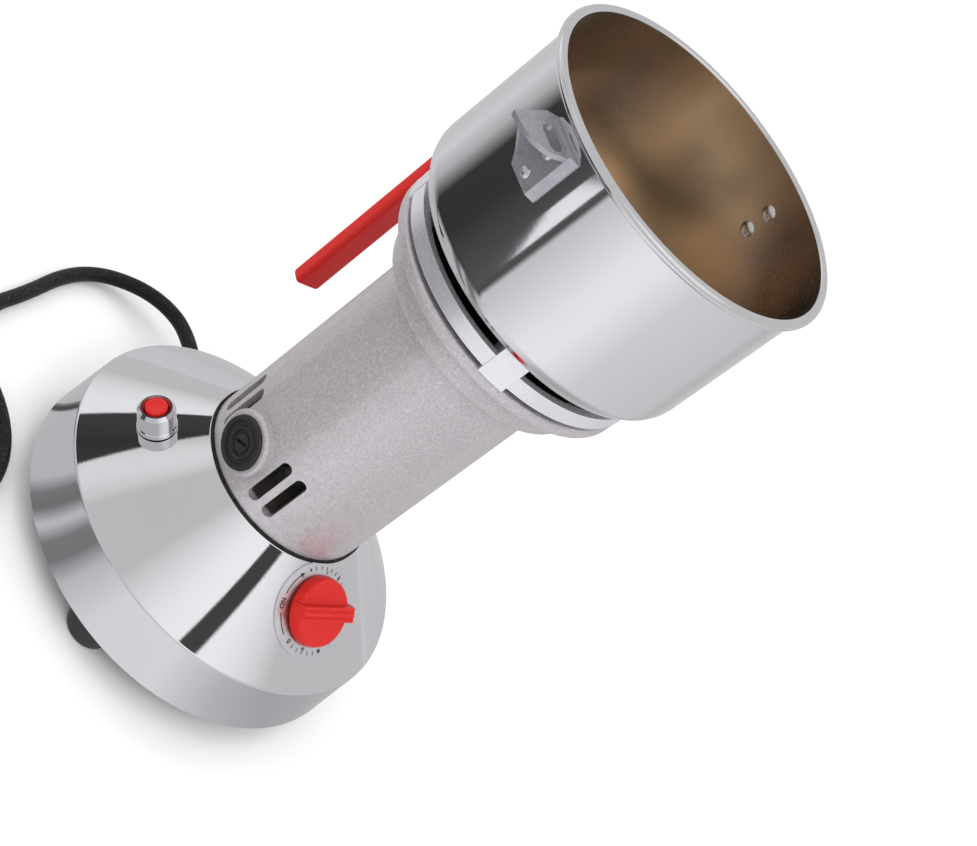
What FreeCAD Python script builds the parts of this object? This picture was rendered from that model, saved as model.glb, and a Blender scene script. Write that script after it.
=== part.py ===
import FreeCAD, Part
import math
import os

from FreeCAD import Vector

# An electric grain mill that stands on a mirror-steel base. Millimetres, +Z up.
# The origin is on the floor, on the motor's axis. An azimuth of 0 points along -Y
# and grows towards +X, and both lid catches and both brush caps lie on the Y axis.

# Base shell, a spun skirt under a cone
base_r = 86.4
shoulder_r = 85.0
base_z = 13.0
shoulder_z = 41.7
shoulder_round = 1.6
neck_r = 42.5
neck_z = 76.5
shell_wall = 1.2
neck_hole_r = 30.0

# Base plate, feet and their screws
plate_drop = 0.5
plate_t = 2.0
plate_gap = 0.4
foot_r = 11.5
foot_tip_r = 10.0
foot_round = 2.6
foot_inset = 14.4
foot_azimuth = 28.0
foot_count = 4
foot_bore_depth = 6.0
foot_bore_r = 4.6
foot_screw_r = 2.0
lug_offset = 30.0
lug_inset = 8.4
lug_w = 14.0
lug_t = 2.0
plate_screw_r = 1.75
screw_gap = 0.05
screw_head_h = 2.2
thread_past = 2.0
thread_short = 0.5

# Motor housing, a cast tube with a step and a collar
gasket_t = 1.0
tube_r = 41.15
tube_wall = 3.0
step_r = 51.3
step_z = 197.0
step_blend = 4.0
collar_r = 61.0
collar_z = 211.5
collar_top = 217.2
collar_bore_r = 48.3
ledge_z = 203.0
foot_flange_t = 3.5
housing_screw_circle_r = 34.0
housing_screw_r = 2.0
collar_skin = 1.2
vent_slot_w = 5.5
vent_slot_low = 83.7
vent_slot_high = 109.2
vent_slot_azimuths = (25.0, 37.4)

# Brush gear, two of each on the Y axis
brush_z = 96.5
boss_r = 14.0
boss_reach = 45.5
boss_round = 1.6
brush_cap_r = 11.3
brush_cap_reach = 46.9
cap_seat_depth = 3.0
holder_r = 8.0
holder_start = 15.5
brush_w = 6.0
brush_h = 10.0
brush_reach = 30.0
brush_gap = 0.3
slip_gap = 0.1

# Motor
running_gap = 0.03
stack_z = 118.0
stack_h = 48.0
stator_gap = 0.2
stator_ring_t = 8.0
air_gap = 0.8
armature_r = 20.2
shoe_start = 12.0
shoe_t = 3.0
coil_half_w = 17.0
armature_slots = 12
slot_w = 3.4
slot_depth = 7.0
winding_h = 11.5
commutator_r = 13.0
commutator_z = 90.5
commutator_h = 13.5
shaft_r = 5.0
journal_r = 4.0
lower_bearing_r = 11.0
lower_bearing_h = 7.0
upper_bearing_r = 13.0
upper_bearing_h = 8.0
bearing_lip = 1.0
lower_bracket_t = 3.5
upper_plate_t = 3.5
upper_screw_r = 2.0
fan_r = 44.0
fan_z = 210.4
fan_h = 10.5
fan_plate_t = 1.6
fan_vanes = 9

# Vent ring with four posts under the bowl
ring_r = 61.3
ring_wall = 3.3
ring_low = 219.9
ring_high = 227.1
post_w = 12.5
post_inner_r = 49.5
post_outer_r = 61.5
post_azimuth = 45.0
post_count = 4

# Bowl
bowl_r = 69.24
bowl_z = 232.1
bowl_floor_t = 1.2
bowl_wall = 1.0
bowl_flat_past_screws = 4.24
rim_z = 311.9
rim_overhang = 3.16
rim_bead_r = 2.0
rim_lip = 1.2
bowl_hole_r = 11.0
bowl_screw_circle_r = 54.5
bowl_screw_r = 2.0
bowl_screw_head_h = 1.8
carrier_t = 3.1

# Blades on the shaft
seal_flange_r = 16.0
seal_flange_t = 2.2
seal_lip_h = 1.8
blade_low_z = 238.0
blade_high_z = 250.0
blade_t = 2.0
blade_w = 18.0
blade_tip_gap = 10.24
high_blade_trim = 1.0
blade_wing_l = 17.0
blade_bend_deg = 32.0
spacer_r = 8.0
blade_nut_af = 13.0
blade_nut_h = 6.5
shaft_end = 2.5

# Lid catches, riveted to the bowl
catch_w = 20.0
catch_low = 280.0
catch_high = 303.0
catch_t = 3.0
catch_bevel = 3.0
catch_corner_cut = 4.0
hook_reach = 17.3
hook_left = 14.0
hook_right = 7.0
hook_t = 2.5
hook_droop_deg = 16.0
hook_bar = 4.0
hook_slot_w = 5.0
hook_slot_left = 8.0
hook_slot_right = 4.0
gusset_t = 1.6
gusset_reach = 14.0
rivet_r = 1.6
rivet_head_r = 2.5
rivet_head_h = 1.3
rivet_seat = 0.06
rivet_low = 284.0
rivet_pitch = 11.4

# Handle on a steel strap under the collar
handle_azimuth = -102.6
handle_axis_r = 84.0
handle_low = 105.0
handle_high = 218.0
handle_w = 12.8
handle_d = 7.6
handle_round = 2.3
strap_w = 12.6
strap_t = 3.0
strap_start = 52.0
strap_wall = 2.0
strap_end_wall = 2.2
collar_screw_circle_r = 56.5
collar_screw_pitch = 7.2
collar_screw_r = 1.6
collar_screw_depth = 3.0
collar_screw_head_h = 2.0
handle_screw_r = 1.8
handle_screw_end = 200.0
handle_screw_head_r = 2.9
handle_screw_head_h = 2.0

# Timer on the cone
timer_azimuth = 90.0
timer_r = 57.5
dial_r = 20.8
dial_t = 0.8
knob_r = 15.1
knob_base_h = 4.8
knob_h = 8.4
knob_lift = 1.2
knob_bar_w = 8.5
knob_bar_taper = 1.2
knob_rib_w = 1.1
knob_overhang = 1.2
knob_wall = 2.2
timer_shaft_r = 3.0
timer_box = 38.0
timer_box_d = 23.0
timer_bush_r = 5.0
timer_nut_af = 14.0
timer_nut_h = 2.4

# Overload reset on the cone
reset_azimuth = -27.0
reset_r = 59.4
reset_nut_r = 8.0
reset_flange_r = 8.4
reset_flange_h = 2.4
reset_nut_h = 11.3
reset_bush_r = 6.2
reset_button_r = 4.7
reset_button_h = 12.0
breaker_w = 15.0
breaker_l = 25.0
breaker_d = 24.0
panel_gap = 0.2

# Supply lead
lead_d = 7.0
lead_exit_azimuth = -108.3
lead_exit_z = 20.0
relief_cone_l = 13.0
relief_tilt_deg = 9.0
relief_tip_radius = 4.4
relief_root_radius = 6.0
relief_flange_r = 6.8
relief_flange_t = 2.0
relief_neck_radius = 6.0
relief_nut_r = 8.0
relief_nut_t = 3.4
relief_seat = 0.5
block_l = 24.0
block_w = 18.0
block_h = 13.0
block_r = 38.0
lead_floor = lead_d / 2
lead_route = (
    (-112.4, 37.2, 15.3),
    (-128.7, 34.1, 12.3),
    (-141.5, 23.4, 8.3),
    (-148.8, 4.3, 4.0),
    (-144.0, -17.6, lead_floor),
    (-131.3, -41.7, lead_floor),
    (-119.8, -69.6, lead_floor),
    (-96.3, -81.8, lead_floor),
    (-64.3, -75.9, lead_floor),
    (-36.2, -86.3, lead_floor),
    (-18.1, -110.2, lead_floor),
    (-15.4, -140.1, lead_floor),
    (-22.5, -163.5, lead_floor),
    (-35.9, -176.8, lead_floor),
)

# Put-away coil of the lead and its plug
coil_x = -73.9
coil_y = -144.9
coil_start_azimuth = -65.0
coil_inner_r = 34.0
coil_pitch = 8.8
coil_rise = 7.5
coil_in_quarters = 5
coil_out_quarters = 6
coil_tail = 24.0
plug_relief_l = 20.0
plug_l = 34.0
plug_w = 24.0
plug_h = 21.0
plug_relief_r = 6.4
plug_round = 4.0
blade_pin_w = 6.3
blade_pin_t = 1.5
blade_pin_l = 17.0
blade_pin_pitch = 12.7
earth_pin_r = 2.4
earth_pin_l = 20.0
earth_pin_drop = 5.4
pin_rise = 2.6
pin_root = 4.0

parts = {}
UP = Vector(0, 0, 1)
CENTRE = Vector(0, 0, 0)


# Helpers for shapes

def polar(radius, azimuth, z=0.0):
    turn = math.radians(azimuth)
    return Vector(radius * math.sin(turn), -radius * math.cos(turn), z)


def turned(shape, azimuth):
    """A copy of a shape built at azimuth 0, turned about the motor's axis."""
    copy = shape.copy()
    copy.rotate(CENTRE, UP, azimuth)
    return copy


def cylinder(radius, low, high, x=0.0, y=0.0):
    return Part.makeCylinder(radius, high - low, Vector(x, y, low))


def ring(outer, inner, low, high):
    return cylinder(outer, low, high).cut(cylinder(inner, low - 1, high + 1))


def box(x0, x1, y0, y1, z0, z1):
    return Part.makeBox(x1 - x0, y1 - y0, z1 - z0, Vector(x0, y0, z0))


def face_of(points, at=lambda a, b: Vector(a, 0, b)):
    """A flat face round a list of points; a pair of pairs is an arc's middle and end."""
    edges = []
    here = at(*points[0])
    for point in list(points[1:]) + [points[0]]:
        if isinstance(point[0], tuple):
            middle, end = at(*point[0]), at(*point[1])
            edges.append(Part.Arc(here, middle, end).toShape())
        else:
            end = at(*point)
            if (end - here).Length < 1e-6:
                continue
            edges.append(Part.LineSegment(here, end).toShape())
        here = end
    return Part.Face(Part.Wire(edges))


def lathe(points):
    """A solid of revolution about Z from (radius, height) points."""
    return face_of(points).revolve(CENTRE, UP, 360)


def prism(points, low, high):
    """A straight prism along Z from (x, y) points."""
    face = face_of(points, lambda a, b: Vector(a, b, low))
    return face.extrude(Vector(0, 0, high - low))


def joined(shapes):
    solid = shapes[0]
    for other in shapes[1:]:
        solid = solid.fuse(other)
    return solid.removeSplitter()


def without(solid, cutters):
    for cutter in cutters:
        solid = solid.cut(cutter)
    return solid


def circles_at(shape, radius, z, slack=0.05):
    """The round edges of a turned shape that have this radius at this height."""
    found = []
    for edge in shape.Edges:
        curve = edge.Curve
        if not isinstance(curve, Part.Circle):
            continue
        if abs(curve.Radius - radius) < slack and abs(curve.Center.z - z) < slack:
            found.append(edge)
    return found


def softened(shape, radius, marks):
    """Fillet the round edges marked by (radius, height)."""
    edges = []
    for mark in marks:
        edges += circles_at(shape, *mark)
    return shape.makeFillet(radius, edges)


def set_on(shape, origin, normal, spin=0.0):
    """Carry a shape built about +Z to an origin, with +Z along a normal."""
    copy = shape.copy()
    copy.rotate(CENTRE, UP, spin)
    copy.Placement = FreeCAD.Placement(origin, FreeCAD.Rotation(UP, normal)).multiply(copy.Placement)
    return copy


def around(shape, count, first=0.0):
    return [turned(shape, first + 360.0 / count * k) for k in range(count)]


def hexagon(across_flats, low, high):
    corner = across_flats / math.sqrt(3)
    points = [(corner * math.cos(math.radians(60 * k)), corner * math.sin(math.radians(60 * k)))
              for k in range(6)]
    return prism(points, low, high)


def pan_screw(radius, length, head_h=screw_head_h, head_share=1.85, driver=True):
    """A screw along -Z whose head stands on z = 0, with a cross recess."""
    head_r = radius * head_share
    head = cylinder(head_r, 0, head_h)
    head = softened(head, head_h * 0.45, [(head_r, head_h)])
    screw = joined([head, cylinder(radius, -length, 0)])
    if driver:
        arm = head_r * 0.55
        slot = radius * 0.2
        screw = without(screw, [box(-arm, arm, -slot, slot, head_h * 0.45, head_h + 1),
                                box(-slot, slot, -arm, arm, head_h * 0.45, head_h + 1)])
    return screw


def upside_down(shape):
    copy = shape.copy()
    copy.rotate(CENTRE, Vector(1, 0, 0), 180)
    return copy


def moved(shape, vector):
    copy = shape.copy()
    copy.translate(vector)
    return copy


def save(name, shape):
    parts[name] = shape


# Places that several pieces share

plate_z = base_z + plate_drop
plate_top = plate_z + plate_t
cone_slope = math.atan2(neck_z - shoulder_z, shoulder_r - neck_r)
housing_z = neck_z + gasket_t
bore_r = tube_r - tube_wall
floor_flange_z = housing_z + foot_flange_t
bowl_floor = bowl_z + bowl_floor_t
bowl_inner_r = bowl_r - bowl_wall
bowl_corner_r = bowl_r - bowl_screw_circle_r - bowl_flat_past_screws
rim_r = bowl_r + rim_overhang
rivet_levels = (rivet_low, rivet_low + rivet_pitch)
low_blade_r = bowl_inner_r - blade_tip_gap
high_blade_r = low_blade_r - high_blade_trim
blade_bend_r = high_blade_r - blade_wing_l
foot_circle_r = base_r - foot_inset
lug_circle_r = base_r - lug_inset


def skirt_at(z):
    """Outer radius of the base's skirt at a height."""
    return base_r + (shoulder_r - base_r) * (z - base_z) / (shoulder_z - base_z)


def cone_z(radius):
    return shoulder_z + (shoulder_r - radius) * math.tan(cone_slope)


def cone_normal(azimuth):
    out = polar(1, azimuth)
    return Vector(out.x * math.sin(cone_slope), out.y * math.sin(cone_slope), math.cos(cone_slope))


def on_cone(shape, radius, azimuth, spin=0.0):
    """Set a shape on the cone: its +Z is the cone's normal and its +Y points up the slope."""
    copy = shape.copy()
    copy.rotate(CENTRE, UP, spin)
    copy.rotate(CENTRE, Vector(1, 0, 0), math.degrees(cone_slope))
    copy.translate(Vector(0, -radius, cone_z(radius)))
    return turned(copy, azimuth)


def out_from_axis(shape, azimuth, z):
    """Turn a shape built about +Z so that its +Z points outwards at an azimuth."""
    copy = shape.copy()
    copy.rotate(CENTRE, Vector(1, 0, 0), 90)
    copy.translate(Vector(0, 0, z))
    return turned(copy, azimuth)


foot_azimuths = [foot_azimuth + 360.0 / foot_count * k for k in range(foot_count)]
lug_azimuths = [a + lug_offset for a in foot_azimuths]
post_azimuths = [post_azimuth + 360.0 / post_count * k for k in range(post_count)]


# Base

def make_base_shell():
    shift = shell_wall / math.cos(cone_slope)
    inner_shoulder_r = shoulder_r - shell_wall
    inner_shoulder_z = shoulder_z + (shoulder_r - inner_shoulder_r) * math.tan(cone_slope) - shift
    inner_neck_z = neck_z - shell_wall
    inner_neck_r = shoulder_r - (inner_neck_z + shift - shoulder_z) / math.tan(cone_slope)
    outline = [(base_r, base_z), (shoulder_r, shoulder_z), (neck_r, neck_z), (neck_hole_r, neck_z),
               (neck_hole_r, inner_neck_z), (inner_neck_r, inner_neck_z),
               (inner_shoulder_r, inner_shoulder_z), (base_r - shell_wall, base_z)]
    shell = lathe(outline)
    shell = softened(shell, shoulder_round, [(shoulder_r, shoulder_z)])
    shell = softened(shell, shell_wall / 3, [(base_r, base_z)])
    lugs = []
    for azimuth in lug_azimuths:
        lug = box(-lug_w / 2, lug_w / 2, -base_r, -lug_circle_r + lug_w / 3, plate_top, plate_top + lug_t)
        lug = lug.common(cylinder(skirt_at(plate_top) - shell_wall / 2, plate_top, plate_top + lug_t))
        lugs.append(turned(lug, azimuth))
    shell = joined([shell] + lugs)
    cutters = [on_cone(cylinder(timer_bush_r + panel_gap, -5, 5), timer_r, timer_azimuth),
               on_cone(cylinder(reset_bush_r + panel_gap, -5, 5), reset_r, reset_azimuth),
               out_from_axis(cylinder(relief_neck_radius + panel_gap / 2, base_r - 10, base_r + 5),
                             lead_exit_azimuth, lead_exit_z)]
    for azimuth in lug_azimuths:
        spot = polar(lug_circle_r, azimuth)
        cutters.append(cylinder(plate_screw_r + screw_gap, plate_top - 1, plate_top + 5, spot.x, spot.y))
    for azimuth in post_azimuths:
        spot = polar(housing_screw_circle_r, azimuth)
        cutters.append(cylinder(housing_screw_r + screw_gap, neck_z - 5, neck_z + 5, spot.x, spot.y))
    save("base_shell", without(shell, cutters))


def make_base_plate():
    plate = cylinder(skirt_at(plate_top) - shell_wall - plate_gap, plate_z, plate_top)
    cutters = []
    for azimuth in foot_azimuths:
        spot = polar(foot_circle_r, azimuth)
        cutters.append(cylinder(foot_screw_r + screw_gap, plate_z - 1, plate_top + 1, spot.x, spot.y))
    for azimuth in lug_azimuths:
        spot = polar(lug_circle_r, azimuth)
        cutters.append(cylinder(plate_screw_r + screw_gap, plate_z - 1, plate_top + 1, spot.x, spot.y))
    save("base_plate", without(plate, cutters))
    screws = []
    for azimuth in lug_azimuths:
        screw = upside_down(pan_screw(plate_screw_r, plate_t + lug_t + thread_past))
        screws.append(moved(screw, polar(lug_circle_r, azimuth, plate_z)))
    save("base_plate_screws", Part.Compound(screws))


def make_feet():
    foot = lathe([(0, 0), (foot_tip_r, 0), (foot_r, plate_z * 0.55), (foot_r, plate_z), (0, plate_z)])
    foot = softened(foot, foot_round, [(foot_tip_r, 0)])
    foot = without(foot, [cylinder(foot_screw_r + screw_gap, -1, plate_z + 1),
                          cylinder(foot_bore_r, -1, foot_bore_depth)])
    screw = upside_down(pan_screw(foot_screw_r, plate_z - foot_bore_depth + plate_t + thread_past))
    screws = []
    for number, azimuth in enumerate(foot_azimuths, 1):
        save("rubber_foot_%d" % number, moved(foot, polar(foot_circle_r, azimuth)))
        screws.append(moved(screw, polar(foot_circle_r, azimuth, foot_bore_depth)))
    save("foot_screws", Part.Compound(screws))


# Motor housing

def make_motor_housing():
    housing = lathe([(bore_r, floor_flange_z), (neck_hole_r, floor_flange_z), (neck_hole_r, housing_z),
                     (tube_r, housing_z), (tube_r, step_z), (step_r, step_z), (step_r, collar_z),
                     (collar_r, collar_z), (collar_r, collar_top), (collar_bore_r, collar_top),
                     (collar_bore_r, ledge_z), (bore_r, ledge_z)])
    housing = softened(housing, step_blend, [(tube_r, step_z)])
    housing = softened(housing, 2.2, [(step_r, step_z)])
    housing = softened(housing, 1.4, [(step_r, collar_z), (collar_r, collar_z), (collar_r, collar_top)])
    boss = cylinder(boss_r, tube_r - 1.5 * tube_wall, boss_reach)
    boss = softened(boss, boss_round, [(boss_r, boss_reach)])
    cutters = []
    for azimuth in (0, 180):
        housing = housing.fuse(out_from_axis(boss, azimuth, brush_z))
        cutters.append(out_from_axis(cylinder(holder_r + slip_gap, 20, tube_r + 10), azimuth, brush_z))
        cutters.append(out_from_axis(cylinder(brush_cap_r + 2 * slip_gap, boss_reach - cap_seat_depth,
                                              boss_reach + 5), azimuth, brush_z))
        for offset in vent_slot_azimuths:
            for side in (-1, 1):
                cutters.append(out_from_axis(vent_slot(), azimuth + side * offset, 0))
    cutters.append(cylinder(bore_r, floor_flange_z, ledge_z))
    for azimuth in post_azimuths:
        spot = polar(housing_screw_circle_r, azimuth)
        cutters.append(cylinder(housing_screw_r + screw_gap, housing_z - 1, floor_flange_z + 1,
                                spot.x, spot.y))
        spot = polar(bowl_screw_circle_r, azimuth)
        cutters.append(cylinder(bowl_screw_r + screw_gap, collar_z + collar_skin, collar_top + 1,
                                spot.x, spot.y))
        spot = polar((bore_r + collar_bore_r) / 2, azimuth + 45)
        cutters.append(cylinder(upper_screw_r + screw_gap, step_z + collar_skin, ledge_z + 1, spot.x, spot.y))
    for side in (-1, 1):
        spot = strap_screw_spot(side)
        depth = collar_screw_depth + thread_short
        cutters.append(cylinder(collar_screw_r + screw_gap, collar_z - 1, collar_z + depth, spot.x, spot.y))
    save("motor_housing", without(housing.removeSplitter(), cutters))


def vent_slot():
    """A slot with round ends, cut outwards through the tube's wall, its length along Z."""
    half = vent_slot_w / 2
    low, high = vent_slot_low + half, vent_slot_high - half
    start, end = bore_r - tube_wall, boss_reach
    ends = [Part.makeCylinder(half, end - start, Vector(0, z, start)) for z in (low, high)]
    middle = box(-half, half, low, high, start, end)
    return joined(ends + [middle])


def make_gasket_and_screws():
    save("neck_gasket", without(ring(neck_r - 0.3, neck_hole_r, neck_z, housing_z), [
        cylinder(housing_screw_r + screw_gap, neck_z - 1, housing_z + 1,
                 polar(housing_screw_circle_r, a).x, polar(housing_screw_circle_r, a).y)
        for a in post_azimuths]))
    screw = upside_down(pan_screw(housing_screw_r, shell_wall + gasket_t + foot_flange_t - thread_short))
    save("housing_screws", Part.Compound([
        moved(screw, polar(housing_screw_circle_r, a, neck_z - shell_wall)) for a in post_azimuths]))


# Bearings and their brackets

def make_bearing(name, outer, bore, low, height):
    bearing = ring(outer, bore, low, low + height)
    groove_out = outer - bearing_lip * 2
    groove_in = bore + bearing_lip * 2
    cutters = [ring(groove_out, groove_in, low - 1, low + 0.5),
               ring(groove_out, groove_in, low + height - 0.5, low + height + 1)]
    save(name, without(bearing, cutters))


def make_brackets():
    low_seat = floor_flange_z + bearing_lip
    low_top = low_seat + lower_bearing_h
    bracket = lathe([(bore_r - slip_gap, floor_flange_z), (bore_r - slip_gap, floor_flange_z + lower_bracket_t),
                     (lower_bearing_r + 3, floor_flange_z + lower_bracket_t), (lower_bearing_r + 3, low_top),
                     (lower_bearing_r + screw_gap, low_top), (lower_bearing_r + screw_gap, low_seat),
                     (journal_r + 2, low_seat), (journal_r + 2, floor_flange_z)])
    holes = around(cylinder(5, floor_flange_z - 1, low_top, 0, -(lower_bearing_r + bore_r) / 2 - 1), 6)
    save("lower_bearing_bracket", without(bracket, holes))
    make_bearing("lower_bearing", lower_bearing_r, journal_r + running_gap, low_seat, lower_bearing_h)
    plate_high = ledge_z + upper_plate_t
    seat_low = plate_high - upper_bearing_h
    hub_r = upper_bearing_r + 3
    plate = lathe([(collar_bore_r - slip_gap, ledge_z), (collar_bore_r - slip_gap, plate_high),
                   (upper_bearing_r + screw_gap, plate_high), (upper_bearing_r + screw_gap, seat_low),
                   (shaft_r + 3, seat_low), (shaft_r + 3, seat_low - 1.5), (hub_r, seat_low - 1.5),
                   (hub_r, ledge_z)])
    windows = around(cylinder(6.5, ledge_z - 1, plate_high + 1, 0, -(hub_r + bore_r) / 2), 8, 22.5)
    screw_r = (bore_r + collar_bore_r) / 2
    holes = [cylinder(upper_screw_r + screw_gap, ledge_z - 1, plate_high + 1, polar(screw_r, a + 45).x,
                      polar(screw_r, a + 45).y) for a in post_azimuths]
    save("upper_bearing_plate", without(plate, windows + holes))
    make_bearing("upper_bearing", upper_bearing_r, shaft_r + running_gap, seat_low, upper_bearing_h)
    screw = pan_screw(upper_screw_r, upper_plate_t + ledge_z - step_z - collar_skin - thread_short)
    save("bearing_plate_screws", Part.Compound([
        moved(screw, polar(screw_r, a + 45, plate_high)) for a in post_azimuths]))


# Motor windings, rotor and brushes

def make_stator():
    outer = bore_r - stator_gap
    inner = outer - stator_ring_t
    stack_top = stack_z + stack_h
    bore = armature_r + air_gap
    shoe_r = bore + shoe_t
    neck_half = 9.0
    core = ring(outer, inner, stack_z, stack_top)
    blocks = []
    for side in (-1, 1):
        reach = sorted((side * (bore - 2), side * (inner + 1)))
        blocks.append(box(reach[0], reach[1], -neck_half, neck_half, stack_z, stack_top))
        shoe = ring(shoe_r, bore - 2, stack_z, stack_top)
        half = sorted((side * shoe_start, side * outer))
        blocks.append(shoe.common(box(half[0], half[1], -outer, outer, stack_z, stack_top)))
    core = joined([core] + blocks).cut(cylinder(bore, stack_z - 1, stack_top + 1))
    save("stator_core", core)
    coils = []
    for side in (-1, 1):
        reach = sorted((side * (shoe_r + slip_gap * 3), side * inner))
        coil = box(reach[0], reach[1], -coil_half_w, coil_half_w, stack_z - winding_h, stack_top + winding_h)
        hole = box(reach[0] - 1, reach[1] + 1, -neck_half - slip_gap, neck_half + slip_gap,
                   stack_z - slip_gap, stack_top + slip_gap)
        limit = cylinder(inner - slip_gap, stack_z - winding_h - 1, stack_top + winding_h + 1)
        coils.append(coil.cut(hole).common(limit))
    save("field_coils", Part.Compound(coils))


def make_rotor():
    low_end = floor_flange_z + bearing_lip - 0.5
    shoulder = floor_flange_z + bearing_lip + lower_bearing_h + 0.5
    top = blade_high_z + blade_t + blade_nut_h + shaft_end
    shaft = joined([cylinder(journal_r, low_end, shoulder), cylinder(shaft_r, shoulder, blade_low_z),
                    cylinder(journal_r, blade_low_z, top)])
    shaft = shaft.makeChamfer(0.8, circles_at(shaft, journal_r, top))
    save("rotor_shaft", shaft)
    stack_top = stack_z + stack_h
    slots = around(box(-slot_w / 2, slot_w / 2, -armature_r - 2, -armature_r + slot_depth,
                       stack_z - 1, stack_top + 1), armature_slots)
    core = ring(armature_r, shaft_r + screw_gap, stack_z, stack_top)
    save("armature_core", without(core, slots))
    half = slot_w / 2 - slip_gap
    bar = box(-half, half, -armature_r + 0.8, -armature_r + slot_depth - slip_gap,
              stack_z - 2, stack_top + 2)
    head_r = armature_r - 1.2
    heads = []
    for low, high in ((stack_z - winding_h, stack_z - slip_gap),
                      (stack_top + slip_gap, stack_top + winding_h)):
        head = ring(head_r, shaft_r + screw_gap, low, high)
        heads.append(softened(head, 3.0, [(head_r, low if low < stack_z else high)]))
    save("armature_windings", joined(heads + around(bar, armature_slots)))
    riser_low = commutator_z + commutator_h
    commutator = joined([ring(commutator_r, shaft_r + screw_gap, commutator_z, riser_low),
                         ring(commutator_r + 1.6, shaft_r + screw_gap, riser_low,
                              stack_z - winding_h - slip_gap)])
    cuts = around(box(-0.3, 0.3, -commutator_r - 2, -commutator_r + 1.2, commutator_z - 1, riser_low + 5),
                  2 * armature_slots)
    save("commutator", without(commutator, cuts))


def make_fan():
    disc = cylinder(fan_r, fan_z, fan_z + fan_plate_t)
    hub = cylinder(2 * shaft_r, fan_z, fan_z + fan_h)
    vane = box(-0.8, 0.8, -fan_r + 0.5, -2 * shaft_r + 1, fan_z, fan_z + fan_h - 1.5)
    fan = joined([disc, hub] + around(vane, fan_vanes))
    save("cooling_fan", fan.cut(cylinder(shaft_r + screw_gap, fan_z - 1, fan_z + fan_h + 1)))


def make_brush_gear():
    channel_w = brush_w / 2 + slip_gap
    channel_h = brush_h / 2 + slip_gap
    seat = boss_reach - cap_seat_depth
    stem_low = seat - 4.0
    holder = cylinder(holder_r, holder_start, seat)
    holder = holder.cut(box(-channel_w, channel_w, -channel_h, channel_h, holder_start - 1, seat + 1))
    brush = box(-brush_w / 2, brush_w / 2, -brush_h / 2, brush_h / 2, commutator_r - 2, brush_reach)
    spring = ring(brush_w / 2 - slip_gap, brush_w / 2 - 0.8, brush_reach, stem_low)
    worn = cylinder(commutator_r + brush_gap, brush_z - brush_h, brush_z + brush_h)
    sides = (0, 180)
    save("brush_holders", Part.Compound([out_from_axis(holder, a, brush_z) for a in sides]))
    save("carbon_brushes", Part.Compound([out_from_axis(brush, a, brush_z).cut(worn) for a in sides]))
    save("brush_springs", Part.Compound([out_from_axis(spring, a, brush_z) for a in sides]))
    for name, azimuth in zip(("front", "rear"), sides):
        save("brush_cap_" + name, out_from_axis(brush_cap(seat, stem_low), azimuth, brush_z))


def brush_cap(seat, stem_low):
    """A screwed cap with stepped rings and a driver slot, its face pointing along +Z."""
    face = brush_cap_reach
    cap = lathe([(0, seat), (brush_cap_r, seat), (brush_cap_r, face), (brush_cap_r - 2.0, face),
                 (brush_cap_r - 2.4, face - 1.1), (brush_cap_r - 4.2, face - 1.1),
                 (brush_cap_r - 4.6, face - 0.4), (brush_cap_r - 5.6, face - 0.4),
                 (brush_cap_r - 6.0, face - 1.5), (brush_cap_r - 7.2, face - 1.5),
                 (brush_cap_r - 7.4, face - 0.9), (0, face - 0.9)])
    cap = softened(cap, 0.6, [(brush_cap_r, face)])
    stem = cylinder(brush_w / 2 - slip_gap, stem_low, seat)
    slot = box(-3.2, 3.2, -0.7, 0.7, face - 2.4, face + 1)
    slot.rotate(CENTRE, UP, 35)
    return joined([cap, stem]).cut(slot)


# Vent ring, bowl and blades

def make_vent_ring():
    band = ring(ring_r, ring_r - ring_wall, ring_low, ring_high)
    half = post_w / 2
    post = box(-half, half, -post_outer_r, -post_inner_r + 2, collar_top, bowl_z)
    post = post.common(ring(post_outer_r, post_inner_r, collar_top, bowl_z))
    vent = joined([band] + around(post, post_count, post_azimuth))
    holes = [cylinder(bowl_screw_r + screw_gap, collar_top - 1, bowl_z + 1, polar(bowl_screw_circle_r, a).x,
                      polar(bowl_screw_circle_r, a).y) for a in post_azimuths]
    save("vent_ring", without(vent, holes))
    plate = ring(post_inner_r - slip_gap / 2, bowl_hole_r, bowl_z - carrier_t, bowl_z)
    save("bowl_carrier_plate", plate)


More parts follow.
